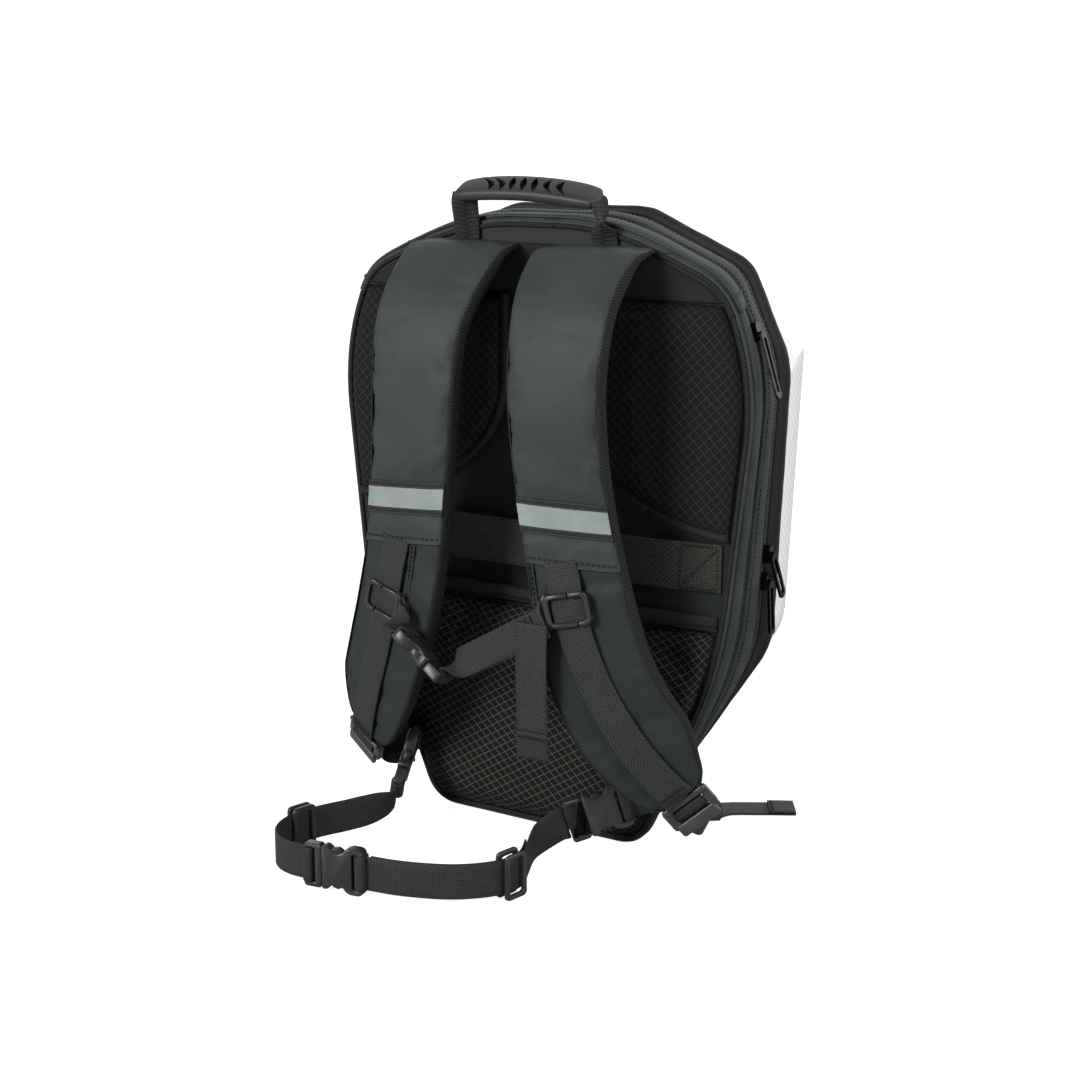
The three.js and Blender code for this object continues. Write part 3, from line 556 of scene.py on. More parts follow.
def net_finish(name, rise, fall, thread):
    """Padded net: light diamond lines over dark woven cells. rise and fall are the line angles in degrees."""
    made = Finish(name, roughness=0.85, specular_ior_level=0.15)
    tree = made.tree
    net = made.group("net", Place=made.flat_place(), Rise=math.radians(rise), Fall=math.radians(fall))
    flecks = node(tree, "ShaderNodeTexNoise", {"Vector": made.solid_place(), "Scale": 1.6, "Detail": 3.0})
    cell = made.ramp(sums(tree, "MULTIPLY", net["Ridge"], flecks.outputs[0]),
                     (0.0, screen(6, 6, 5)), (0.75, screen(31, 31, 29)))
    mixed = node(tree, "ShaderNodeMix", {0: net["Thread"], 6: cell, 7: thread}, data_type="RGBA")
    made.shade(mixed.outputs[2])
    made.relief(sums(tree, "MULTIPLY_ADD", net["Ridge"], 0.4, net["Thread"]), 0.5, 0.8)
    return made.material


def webbing_finish(name, across, along, low, high, depth):
    made = Finish(name, roughness=0.75, specular_ior_level=0.2)
    weave = made.group("weave", Place=made.flat_place(), Across=across, Along=along)
    made.shade(made.ramp(weave["Shade"], (0.1, low), (0.9, high)))
    made.gloss(weave["Height"], 0.85, 0.6)
    made.relief(weave["Height"], depth, 0.9)
    return made.material


def edge_tape_finish():
    """Binding tape woven in a zigzag."""
    made = Finish("edge_tape", roughness=0.85, specular_ior_level=0.15)
    tree = made.tree
    zig, pitch = 3.2, 2.6
    place = node(tree, "ShaderNodeSeparateXYZ", {0: made.flat_place()}).outputs
    slanted = sums(tree, "ADD", place[0], sums(tree, "PINGPONG", place[1], zig))
    share = sums(tree, "FRACT", sums(tree, "DIVIDE", slanted, pitch))
    thread = sums(tree, "ABSOLUTE", sums(tree, "SUBTRACT", share, 0.5))
    fuzz = node(tree, "ShaderNodeTexNoise", {"Vector": made.solid_place(), "Scale": 1.4, "Detail": 4.0})
    height = sums(tree, "MULTIPLY_ADD", fuzz.outputs[0], 0.35, thread)
    made.shade(made.ramp(height, (0.18, screen(5, 5, 5)), (0.62, screen(50, 50, 46))))
    made.relief(height, 0.7, 0.9)
    return made.material


def moulded_finish(name, low, high, gloss):
    """Moulded plastic or rubber with a fine spark texture and rubbed patches."""
    made = Finish(name, specular_ior_level=0.5)
    grain = made.group("grain", Place=made.solid_place(), Pebble=0.35, Patch=14.0)
    made.shade(made.ramp(grain["Patches"], (0.3, low), (0.75, high)))
    made.gloss(grain["Patches"], *gloss)
    made.relief(grain["Height"], 0.05, 0.3)
    return made.material


def reflective_finish():
    made = Finish("reflective_tape", specular_ior_level=0.6)
    tree = made.tree
    place = made.flat_place()
    beads = node(tree, "ShaderNodeTexVoronoi", {"Vector": place, "Scale": 2.2}).outputs["Distance"]
    grain = made.group("grain", Place=made.solid_place(), Pebble=0.5, Patch=22.0)
    made.shade(made.ramp(grain["Patches"], (0.3, screen(112, 121, 119)), (0.7, screen(126, 135, 133))))
    made.gloss(grain["Patches"], 0.35, 0.5)
    made.relief(beads, 0.06, 0.4)
    return made.material


def shell_finish():
    """White moulding with faint slanted lines under a clear skin."""
    made = Finish("shell", roughness=0.3, coat_weight=0.4)
    tree = made.tree
    place = node(tree, "ShaderNodeSeparateXYZ", {0: made.solid_place()}).outputs
    slant = sums(tree, "ADD", sums(tree, "MULTIPLY", place[0], 0.55), sums(tree, "ADD", place[2], place[1]))
    line = sums(tree, "PINGPONG", sums(tree, "DIVIDE", slant, 3.6), 1.0)
    made.shade(made.ramp(line, (0.0, screen(198, 203, 199)), (0.25, screen(222, 225, 222)),
                         (1.0, screen(226, 229, 226))))
    made.relief(line, 0.15, 0.25)
    return made.material


def window_finish():
    """Smoked cover over a grid of unlit lamps."""
    made = Finish("led_window", coat_weight=1.0)
    tree = made.tree
    place = node(tree, "ShaderNodeSeparateXYZ", {0: made.solid_place()}).outputs
    squares = []
    for axis in (0, 2):
        share = sums(tree, "FRACT", sums(tree, "DIVIDE", place[axis], 4.0))
        squares.append(sums(tree, "POWER", sums(tree, "SUBTRACT", share, 0.5), 2.0))
    reach = sums(tree, "SQRT", sums(tree, "ADD", *squares))
    made.shade(made.ramp(reach, (0.0, screen(62, 64, 66)), (0.26, screen(48, 50, 52)),
                         (0.32, screen(13, 14, 15)), (1.0, screen(11, 12, 13))))
    made.gloss(reach, 0.1, 0.2)
    made.relief(reach, 0.1, 0.1)
    return made.material


def metal_finish():
    made = Finish("black_metal", metallic=0.85)
    grain = made.group("grain", Place=made.solid_place(), Pebble=0.5, Patch=6.0)
    made.shade(made.ramp(grain["Patches"], (0.3, screen(14, 14, 15)), (0.7, screen(34, 34, 36))))
    made.gloss(grain["Patches"], 0.18, 0.36)
    made.relief(grain["Height"], 0.02, 0.2)
    return made.material


def thread_finish():
    made = Finish("thread", roughness=0.7)
    tree = made.tree
    strands = node(tree, "ShaderNodeTexNoise", {"Vector": made.solid_place(), "Scale": 2.5, "Detail": 2.0})
    made.shade(made.ramp(strands.outputs[0], (0.35, screen(3, 3, 3)), (0.7, screen(13, 13, 12))))
    made.relief(strands.outputs[0], 0.15, 0.6)
    return made.material


LEATHERETTE = leatherette_finish("leatherette", screen(40, 46, 43), screen(49, 55, 52), 0.18)
# Darker copy of the leatherette for the strap covers below the hem and their pleats: painted shade where the
# same leatherette turns down away from the light
SHADED_LOWER_LEATHERETTE = leatherette_finish("shaded_lower_leatherette", screen(30, 35, 33), screen(38, 43, 41), 0.18)
# Darker, less shiny copy of the leatherette for the back panel: painted shade for the back behind the straps
# and under the handle
SHADED_BACK_LEATHERETTE = leatherette_finish("shaded_back_leatherette", screen(29, 33, 31), screen(36, 40, 38), 0.1)
NET_UPPER = net_finish("upper_net", 43, 46, screen(44, 45, 41))
NET_LOWER = net_finish("lower_net", 32, 45, screen(76, 78, 72))
WEBBING = webbing_finish("webbing", 1.5, 1.6, screen(5, 6, 5), screen(50, 54, 51), 0.55)
RIBBED = webbing_finish("ribbed_webbing", 30.0, 1.5, screen(5, 5, 5), screen(40, 40, 37), 0.9)
BAND_WEAVE = webbing_finish("band_weave", 1.9, 1.9, screen(6, 6, 6), screen(56, 56, 52), 0.7)
FINE_WEAVE = webbing_finish("fine_weave", 1.0, 1.0, screen(10, 11, 10), screen(33, 35, 33), 0.3)
RIM_WEAVE = webbing_finish("rim_weave", 1.5, 1.5, screen(4, 4, 4), screen(27, 27, 26), 0.4)
EDGE_TAPE = edge_tape_finish()
PLASTIC = moulded_finish("plastic", screen(27, 28, 27), screen(40, 41, 40), (0.34, 0.48))
GREY_PLASTIC = moulded_finish("grey_plastic", screen(42, 45, 43), screen(54, 57, 55), (0.3, 0.44))
RUBBER = moulded_finish("grip_rubber", screen(27, 28, 26), screen(36, 37, 35), (0.5, 0.65))
REFLECTIVE = reflective_finish()
SHELL = shell_finish()
WINDOW = window_finish()
METAL = metal_finish()
THREAD = thread_finish()


# Sewing

def capsule():
    """A short rounded stitch along X, one unit long and one unit wide."""
    rings = [(-0.5, 0.12), (-0.42, 0.36), (-0.2, 0.5), (0.2, 0.5), (0.42, 0.36), (0.5, 0.12)]
    sides = 6
    points = [(x, r * math.cos(a), r * math.sin(a))
              for x, r in rings for a in np.linspace(0, 2 * math.pi, sides, endpoint=False)]
    faces = grid_faces(len(rings), sides, loop_columns=True)
    faces += [tuple(range(sides - 1, -1, -1)), tuple(range(len(points) - sides, len(points)))]
    return np.array(points), faces


CAPSULE = capsule()


def scattered(name, places, alongs, outs, size, finish):
    """Small rounded bars, each along its own direction. size is length, width and height."""
    base, faces = CAPSULE
    sized = base * np.asarray(size, float)
    points, all_faces = [], []
    for place, along, out in zip(places, alongs, outs):
        side = unit(np.cross(out, along))
        first = len(points) * len(base)
        points.append(place + sized @ np.stack([along, side, np.cross(along, side)]))
        all_faces += [tuple(first + i for i in face) for face in faces]
    return make_piece(name, np.concatenate(points), all_faces, finish)


def stitches(name, line, outs, size):
    """A stitch on each step of a line."""
    alongs = [unit(step) for step in np.diff(line, axis=0)]
    return scattered(name, (line[1:] + line[:-1]) / 2, alongs, outs, size, THREAD)


def respaced_like(outs, line):
    """Directions given along a line, read at as many places as another line has."""
    outs = np.asarray(outs, float)
    places = np.linspace(0, len(outs) - 1, len(line))
    return np.stack([np.interp(places, np.arange(len(outs)), outs[:, k]) for k in range(3)], axis=1)


def stitch_row(name, line, out, pitch=3.2, length=2.3, width=0.7):
    """Stitches along a line on a surface; out, or a row of outs, points away from the surface."""
    line = respaced(line, pitch)
    outs = np.tile(out, (len(line), 1)) if np.ndim(out) == 1 else respaced_like(out, line)
    return stitches(name, line, outs, (length, width, width))


TACK_TURNS = 10


def bartack(name, middle, along, out, length, reach):
    """A dense zigzag of stitches across a webbing; along runs the way of the bar."""
    along, out = unit(np.asarray(along, float)), unit(np.asarray(out, float))
    side = unit(np.cross(out, along))
    steps = np.arange(2 * TACK_TURNS + 1)[:, None]
    line = middle + along * length * (steps / (2 * TACK_TURNS) - 0.5) + side * reach * (steps % 2 - 0.5)
    return stitches(name, line + out * 0.2, np.tile(out, (len(line), 1)), (reach * 1.15, 0.7, 0.7))


# Webbing

def ribbon_rows(route, across, width, thick, spacing):
    """Rounded sections of a flat ribbon along a route; across gives its width direction at a share."""
    line = Route(route)
    half, deep = width / 2, thick / 2
    edge = min(deep, 0.8)
    section = [(w, deep) for w in np.linspace(-(half - edge), half - edge, 7)]
    section += [(half - 0.2 * edge, 0.55 * deep), (half, 0), (half - 0.2 * edge, -0.55 * deep)]
    section += [(-w, -d) for w, d in section]
    rows = []
    for share in line.even(spacing):
        along = line.along(share)
        wide = np.asarray(across(share, along), float)
        wide = unit(wide - along * (wide @ along))
        deep_way = unit(np.cross(along, wide))
        rows.append([line.at(share) + wide * w + deep_way * d for w, d in section])
    return np.array(rows)


def webbing(name, route, across, *nodes, width=WEB, thick=WEB_THICK, finish=WEBBING, spacing=2.5):
    """A flat strap along a route, fitted in place of its plain solids."""
    return fit_loft(name, ribbon_rows(route, across, width, thick, spacing), finish, "webbing", *nodes)


def constant(direction):
    direction = np.asarray(direction, float)
    return lambda share, along: direction


def turning(start, end, first=None, last=None):
    """A direction that turns from one to another, evenly or smoothly between two shares of the length."""
    start, end = np.asarray(start, float), np.asarray(end, float)

    def across(share, along):
        ease = share if first is None else smoothstep(share, first, last)
        return start * (1 - ease) + end * ease

    return across


# Camera, floor and light

def set_camera():
    """The photograph's view: 31 degrees to the side and 13 above, hardly rolled."""
    azimuth, height, roll = (math.radians(d) for d in (31.0, 13.2, 0.3))
    place = Vector((662.0, -1156.5, 522.6)) * MM
    back = Vector((math.sin(azimuth) * math.cos(height), -math.cos(azimuth) * math.cos(height),
                   math.sin(height)))
    level = Vector((math.cos(azimuth), math.sin(azimuth), 0))
    tall = back.cross(level)
    right = math.cos(roll) * level + math.sin(roll) * tall
    up = -math.sin(roll) * level + math.cos(roll) * tall
    lens = bpy.data.cameras.new("camera")
    lens.sensor_width = 36
    lens.lens = 60
    camera = bpy.data.objects.new("camera", lens)
    camera.matrix_world = Matrix.Translation(place) @ Matrix((right, up, back)).transposed().to_4x4()
    bpy.context.scene.collection.objects.link(camera)
    bpy.context.scene.camera = camera


def add_lamp(name, place, aim, size, power):
    light = bpy.data.lights.new(name, "AREA")
    light.shape = "DISK"
    light.size = size
    light.energy = power
    lamp = bpy.data.objects.new(name, light)
    lamp.location = place
    lamp.rotation_euler = (Vector(aim) - Vector(place)).to_track_quat("-Z", "Y").to_euler()
    bpy.context.scene.collection.objects.link(lamp)


def set_sky():
    """A white sweep that itself gives light mostly from the shell's side."""
    world = bpy.data.worlds.new("studio")
    world.use_nodes = True
    tree = world.node_tree
    way = node(tree, "ShaderNodeTexCoord").outputs["Generated"]
    parts = node(tree, "ShaderNodeSeparateXYZ", {0: way}).outputs
    depth = sums(tree, "MULTIPLY_ADD", parts[2], -0.4, parts[1])
    glow = node(tree, "ShaderNodeMapRange", {0: depth, 1: -0.1, 2: 0.6, 3: 0.26, 4: 1.7}).outputs[0]
    seen = node(tree, "ShaderNodeLightPath").outputs["Is Camera Ray"]
    tree.links.new(sums(tree, "MAXIMUM", glow, seen), tree.nodes["Background"].inputs["Strength"])
    tree.nodes["Background"].inputs["Color"].default_value = (1, 1, 1, 1)
    bpy.context.scene.world = world
    bpy.context.scene.view_settings.view_transform = "Standard"


def set_studio():
    set_sky()
    paper = Finish("pale_floor", roughness=0.9, emission_color=(1, 1, 1, 1))
    seen = node(paper.tree, "ShaderNodeLightPath").outputs["Is Camera Ray"]
    paper.tree.links.new(sums(paper.tree, "MULTIPLY", seen, 0.88), paper.shader.inputs["Emission Strength"])
    speckle = node(paper.tree, "ShaderNodeTexNoise", {"Vector": paper.solid_place(), "Scale": 0.02})
    paper.shade(paper.ramp(speckle.outputs[0], (0.3, (0.36, 0.36, 0.36, 1)), (0.7, (0.4, 0.4, 0.4, 1))))
    reach = 9000.0
    corners = [(-reach, -reach, -0.3), (reach, -reach, -0.3), (reach, reach, -0.3), (-reach, reach, -0.3)]
    floor = make_piece("floor", corners, [(0, 1, 2, 3)], paper.material, smooth=False)
    add_lamp("key", (-0.62, -1.7, 0.98), (0, -0.1, 0.27), 0.8, 44)
    add_lamp("side", (1.9, -0.3, 0.9), (0, -0.03, 0.24), 0.8, 22)
    add_lamp("top", (0.1, 0.7, 2.1), (0, -0.03, 0.24), 1.0, 4)


set_camera()
set_studio()


# Side walls

def ring_rows(section):
    """Rows round the bag of a closed section given as depths and distances out from the wall's face."""
    columns = [at_depth(loop_at(y, out), y) for y, out in section]
    return np.stack(columns, axis=1)


def wall_section(span, bulge, sunk=0.0, lip=0.9):
    """A strip of wall between two seams: rolled in at both edges and swelling half way."""
    first, last = span
    shares = np.linspace(0, 1, 9)
    face = [(first + (last - first) * s, -sunk + bulge * math.sin(math.pi * s) ** 0.7) for s in shares]
    face = [(first, -sunk - lip)] + face + [(last, -sunk - lip)]
    return face + [(last, -sunk - WALL), (first, -sunk - WALL)]


def from_middle(point):
    """The direction straight out of the wall at a point."""
    return unit(np.array([point[0], 0, point[2] - MIDDLE_Z]))


def puckered(rows, depth, size):
    """Moves points out and in by soft noise, as on sewn leatherette."""
    moved = rows.copy()
    for i in range(rows.shape[0]):
        for j in range(rows.shape[1]):
            x, y, z = rows[i, j] / size
            lift = noise.noise(Vector((x, 2.2 * y, z))) * depth
            moved[i, j] += from_middle(rows[i, j]) * lift
    return moved


def ring_line(y, out):
    line = at_depth(loop_at(y, out), y)
    return np.concatenate([line, line[:1]])


def ring_outs(y):
    outs = at_depth(outward(loop_at(y)), 0)
    return np.concatenate([outs, outs[:1]])


def build_walls():
    for name, solid, span, bulge, pucker, size in (
            ("rear_strip_cover", "rear_strip", STRIP, 2.1, 0.6, 26.0),
            ("gusset_cover", "main_gusset", GUSSET, 2.3, 0.7, 34.0)):
        rows = puckered(ring_rows(wall_section(span, bulge)), pucker, size)
        fit_loft(name, rows, LEATHERETTE, "leatherette", solid, loop_rows=True)
    seam = 3.2
    for name, y in (("gusset_stitches_rear", GUSSET[0] + seam), ("gusset_stitches_front", GUSSET[1] - seam)):
        fit(stitch_row(name, ring_line(y, 1.75), ring_outs(y), pitch=3.4, width=0.8), "binding")
    for name, span, half in (("rear_zip", REAR_ZIP, 1.1), ("main_zip", MAIN_ZIP, 1.3)):
        tucked = (span[0] - ZIP_TUCK, span[1] + ZIP_TUCK)
        rows = ring_rows(wall_section(tucked, bulge=0, sunk=1.0, lip=0.4))
        fit_loft(f"{name}_tape", rows, FINE_WEAVE, "webbing", name, loop_rows=True)
        add_zip_teeth(f"{name}_teeth", (span[0] + span[1]) / 2, half)


def add_zip_teeth(name, y, half):
    """Coil teeth that reach in turn from the two tapes."""
    pitch, sunk, width, height = 1.35, 0.75, 0.95, 1.1
    line = respaced(ring_line(y, -sunk), pitch)
    outs = respaced_like(ring_outs(y), line)
    places = line + np.array([DEEP * half * (0.5 if i % 2 else -0.5) for i in range(len(line))])
    across = np.tile(DEEP, (len(line), 1))
    fit(scattered(name, places, across, outs, (2.0 * half, width, height), PLASTIC), "plastic")


def tube_ring(point, wide, deep, radius, sides=8):
    return [point + radius * (wide * math.cos(a) + deep * math.sin(a))
            for a in np.linspace(0, 2 * math.pi, sides, endpoint=False)]


def tube_rows(line, radius, sides=10, closed=True):
    """Round sections along a line of points."""
    line = np.asarray(line, float)
    ahead = np.roll(line, -1, axis=0) - np.roll(line, 1, axis=0)
    if not closed:
        ahead[0], ahead[-1] = line[1] - line[0], line[-1] - line[-2]
    rows = []
    for point, along in zip(line, ahead):
        along = unit(along)
        deep = unit(DEEP - along * (DEEP @ along))
        rows.append(tube_ring(point, np.cross(along, deep), deep, radius, sides))
    return np.array(rows)


def build_piping():
    """A black cord all round the back panel, with a leatherette roll beside it."""
    cord = at_depth(loop_at(BACK_Y, -3.6), BACK_Y - 0.4)
    fit_loft("rear_piping_cord", tube_rows(cord, 1.7), EDGE_TAPE, "binding", "rear_piping", loop_rows=True)
    roll = at_depth(loop_at(BACK_Y, -1.3), BACK_Y + 0.9)
    fit_loft("rear_piping_roll", tube_rows(roll, 1.35), LEATHERETTE, "leatherette", loop_rows=True)


def build_rim():
    """Black binding with a raised flange next to the shell."""
    first, last = RIM
    section = [(first, -1.0), (first + 0.8, 0.0), (last - 9.2, 0.2), (last - 7.4, 0.9), (last - 6.0, 1.7),
               (last - 3.0, 2.0), (last - 0.8, 1.6), (last, 0.2), (last, -WALL), (first, -WALL)]
    rows = puckered(ring_rows(section), 0.35, 12.0)
    fit_loft("rim_tape", rows, RIM_WEAVE, "binding", "rim_binding", loop_rows=True)


def build_hood():
    """The leatherette hood over the top of the rear zip, with a rolled end on each shoulder."""
    half = 2 * ARC_POINTS + RUN_POINTS
    first, count = -half - RUN_POINTS, 2 * half + RUN_POINTS
    back, front = STRIP[0] + 0.2, REAR_ZIP[1] - 1.0
    columns = 9
    section = []
    for s in np.linspace(0, 1, columns):
        arch = math.sin(math.pi * min(1.0, 0.12 + s)) ** 0.5
        section.append((back + (front - back) * s, 1.5 + 2.2 * arch * (1 - 0.25 * s)))
    section += [(front, 0.9), (back, 0.9)]
    ring = ring_rows(section)
    rows = puckered(ring[[(first + i) % len(ring) for i in range(count)]], 0.5, 30.0)
    fit_loft("zip_hood", rows, LEATHERETTE, "leatherette", "zip_garage")
    middle = columns // 2
    for name, at in (("hood_end_left", 2), ("hood_end_right", count - 3)):
        face = rows[at, :columns]
        fold = face + (face - face.mean(axis=0)) * 0.02
        ahead = unit(rows[at + 1, middle] - rows[at - 1, middle])
        out = from_middle(face[middle])
        sections = [tube_ring(p + out * 0.25, ahead, out, 0.9) for p in fold]
        fit_loft(name, sections, LEATHERETTE, "leatherette")


def build_shell():
    """Bowl of flat facets with softened ridges, open towards the back."""
    def section(size, y, wall=0.0):
        centre = np.array([0.0, SHELL_CENTRE_Z])
        return at_depth(offset_loop((SHELL_LOOP - centre) * size + centre, -wall), y)

    front_y, front_size = SHELL_SECTIONS[-1]
    rows = [at_depth(offset_loop(RIM_LOOP, -SHELL_EDGE - wall), RIM_Y + GAP) for wall in (SHELL_WALL, 0)]
    rows += [section(size, y) for y, size in SHELL_SECTIONS]
    rows += [section(front_size - 0.012, front_y)]
    front = len(rows)
    rows += [section(size, y - SHELL_WALL, SHELL_WALL) for y, size in reversed(SHELL_SECTIONS)]
    rows = np.array(rows)
    count, columns = rows.shape[:2]
    faces = grid_faces(front, columns, loop_columns=True)
    faces.append(tuple(range((front - 1) * columns, front * columns)))
    faces += [tuple(i + front * columns for i in face)
              for face in grid_faces(count - front, columns, loop_columns=True)]
    faces.append(tuple(reversed(range(front * columns, (front + 1) * columns))))
    last = (count - 1) * columns
    faces += [(last + j, last + (j + 1) % columns, (j + 1) % columns, j) for j in range(columns)]
    shell = make_piece("shell_cover", rows.reshape(-1, 3), faces, SHELL)
    rounded_edges(face_outwards(shell), 2.2, 12)
    fit(crease_smooth(shell, 40), "shell", "front_shell")
    steps = [(WINDOW_SIZE, 0.1), (WINDOW_SIZE, 1.3), (WINDOW_SIZE - 0.008, 1.9)]
    pane = [section(size, front_y + ahead) for size, ahead in steps]
    fit_loft("led_pane", pane, WINDOW, "window", "led_window", crease=30)


def build_base():
    """The black moulded base, rounded off at the floor."""
    half_x, half_y, corner = 72, 37, 14

    def footprint(inset, z):
        half = [(half_x - inset, sign * (half_y - inset), corner - inset) for sign in (1, -1)]
        loop = rounded_loop(half)
        return np.stack([loop[:, 0], loop[:, 1], np.full(len(loop), z)], axis=1)

    steps = [(4.0, 0.0), (2.2, 0.4), (0.6, 2.0), (0.0, 3.4), (0.0, 5.4)]
    rows = [footprint(inset, z) for inset, z in steps]
    fit_loft("base_cover", rows, PLASTIC, "binding", "base_panel", crease=40)


build_walls()
build_piping()
build_rim()
build_hood()
build_shell()
build_base()


# Back panel and pads

PAD_TOP_Z = 401.0
PAD_SEAM_Z = 243.0
PAD_INNER_X = 25.0
PAD_RISE = 8.3
LOWER_TOP_Z = 174.0


def nearest_edge(points, outline):
    """How far each point is from a closed outline, and which way the outline faces there."""
    outline = respaced(np.concatenate([outline, outline[:1]]), 1.5)
    along = np.roll(outline, -1, axis=0) - np.roll(outline, 1, axis=0)
    faces = np.stack([along[:, 1], -along[:, 0]], axis=1)
    faces /= np.linalg.norm(faces, axis=1)[:, None]
    if (outline * faces).sum() < 0:
        faces = -faces
    far = np.linalg.norm(outline[None, :, :] - points[:, None, :], axis=2)
    return far.min(axis=1), faces[far.argmin(axis=1)]


def pad_grid(inner, outer, rows, columns):
    """Points between two edge lines, each given from the top down as x and z."""
    inner = respaced(inner, lengths(np.asarray(inner, float))[-1] / rows)
    outer = respaced(outer, lengths(np.asarray(outer, float))[-1] / rows)
    shares = np.linspace(0, 1, columns + 1)[None, :, None]
    return inner[:, None, :] * (1 - shares) + outer[:, None, :] * shares


def build_pad(name, solid, edges, cells, finish, rounding, pressure):
    """A padded panel on the back: rounded off at its edges, then blown up between its seams."""
    grid = pad_grid(*edges, *cells)
    count, columns = grid.shape[:2]
    outline = np.concatenate([grid[:, 0], grid[-1, 1:], grid[::-1, -1], grid[0, ::-1][1:]])
    flat = grid.reshape(-1, 2)
    away, outwards = nearest_edge(flat, outline)
    height = PAD_RISE * np.sqrt(1 - (1 - np.clip(away / rounding, 0, 1)) ** 2)
    lay = flat + outwards * (PAD_RISE - height)[:, None]
    points = np.stack([flat[:, 0], BACK_Y - GAP - height, flat[:, 1]], axis=1)
    faces = facing(points, grid_faces(count, columns), TO_WEARER)
    numbers = np.arange(count * columns).reshape(count, columns)
    rim = np.concatenate([numbers[:, 0], numbers[-1, 1:], numbers[::-1, -1][1:], numbers[0, ::-1][1:-1]])
    points = swell(points, faces, np.unique(rim), pressure, cap=3.0, slack=0.02)
    points[:, 1] = np.maximum(points[:, 1], PAD_FACE - 2.0)
    pad = make_piece(name, points, faces + [tuple(int(i) for i in rim)], finish, lay)
    fit(face_outwards(pad), "mesh", solid)


def upper_pad_edges():
    """The inner and outer edge of the right upper pad."""
    outer = np.array([(half_width(z, PAD_EDGE), z) for z in np.linspace(PAD_TOP_Z, PAD_SEAM_Z, 40)])
    sweep = bezier([outer[-1], (110, 246), (PAD_INNER_X + 6, 272), (PAD_INNER_X, 335)], 40)[::-1]
    return np.concatenate([[(PAD_INNER_X, PAD_TOP_Z)], sweep]), outer


def lower_pad_edges():
    """The left and right edge of the lower pad, rounded in at the foot."""
    heights = (LOWER_TOP_Z, 155, 140, 120, 95, 70, 45, 25)
    right = [(half_width(z, PAD_EDGE), z) for z in heights] + [(84, 15), (76, 11), (66, 9.5)]
    right = respaced(right, 2.0)
    return right * (-1, 1), right


def build_back():
    edge = at_depth(offset_loop(REAR_LOOP, -PANEL_EDGE), BACK_Y)
    face = at_depth(offset_loop(REAR_LOOP, -PANEL_EDGE - 0.5), BACK_Y - 0.25)
    rows = [edge + PANEL * DEEP, edge, face]
    # The back panel takes the darker leatherette copy: painted shade
    fit_loft("back_panel_cover", rows, SHADED_BACK_LEATHERETTE, "leatherette", "back_panel")

    inner, outer = upper_pad_edges()
    for name, sign in SIDES:
        edges = inner * (sign, 1), outer * (sign, 1)
        build_pad(f"upper_net_pad_{name}", f"upper_pad_{name}", edges, (44, 34), NET_UPPER, 11, 1.6)
    for name, sign in SIDES:
        line = respaced(at_depth(inner * (sign, 1), BACK_Y - 3.6), 3.0)
        fit_loft(f"pad_binding_{name}", tube_rows(line, 3.2, 12, closed=False), EDGE_TAPE, "binding")
    build_pad("lower_net_pad", "lower_pad", lower_pad_edges(), (40, 50), NET_LOWER, 12, 1.4)
    build_hem()
    build_yoke()
    build_luggage_band()


def level_line(half, y, z):
    """A level line across the back."""
    return np.array([(-half, y, z), (half, y, z)])


def build_hem():
    """Folded soft hem over the top of the lower pad, stitched along its lower edge."""
    middle, half_deep, half_tall = 180.2, 4.1, 5.7
    half = half_width(180, PAD_EDGE)
    rows = []
    for share in np.linspace(-1, 1, 90):
        x = share * half
        sag = 0.6 * noise.noise(Vector((x / 17.0, 3.1, 0)))
        fade = 1 - 0.75 * abs(share) ** 10
        rows.append([(x, BACK_Y - 0.4 - half_deep * (1 + math.cos(a)) * fade,
                      middle + half_tall * math.sin(a) + sag)
                     for a in np.linspace(0, 2 * math.pi, 14, endpoint=False)])
    fit_loft("lower_hem_fold", rows, EDGE_TAPE, "mesh", "lower_hem")
    line = level_line(half_width(178, PAD_EDGE) - 5, -68.4, 174.4)
    fit(stitch_row("lower_hem_stitches", line, TO_WEARER, 3.0, 2.2, 0.8), "binding")


def build_yoke():
    """The woven yoke above the pads, sewn down along its upper and lower edge."""
    rows = [[(s * half_width(z, PAD_EDGE), BACK_Y - GAP - 2.0 * (1 - 0.9 * abs(s) ** 8), z)
             for s in np.linspace(-1, 1, 60)] for z in np.linspace(437, PAD_TOP_Z + 1, 16)]
    yoke = loft("yoke_cloth", rows, FINE_WEAVE, loop_columns=False)
    thicken = yoke.modifiers.new("cloth", "SOLIDIFY")
    thicken.thickness = 1.2 * MM
    thicken.offset = 0
    settle_modifiers(yoke)
    fit(face_outwards(yoke), "webbing", "yoke_patch")
    upper, lower = level_line(110, -62.6, 434.4), level_line(148, -62.4, PAD_TOP_Z + 2.4)
    fit(stitch_row("yoke_stitches", upper, TO_WEARER, 3.2, 2.3, 0.8), "binding")
    fit(stitch_row("yoke_seam_stitches", lower, TO_WEARER, 3.0, 2.0, 0.8), "binding")


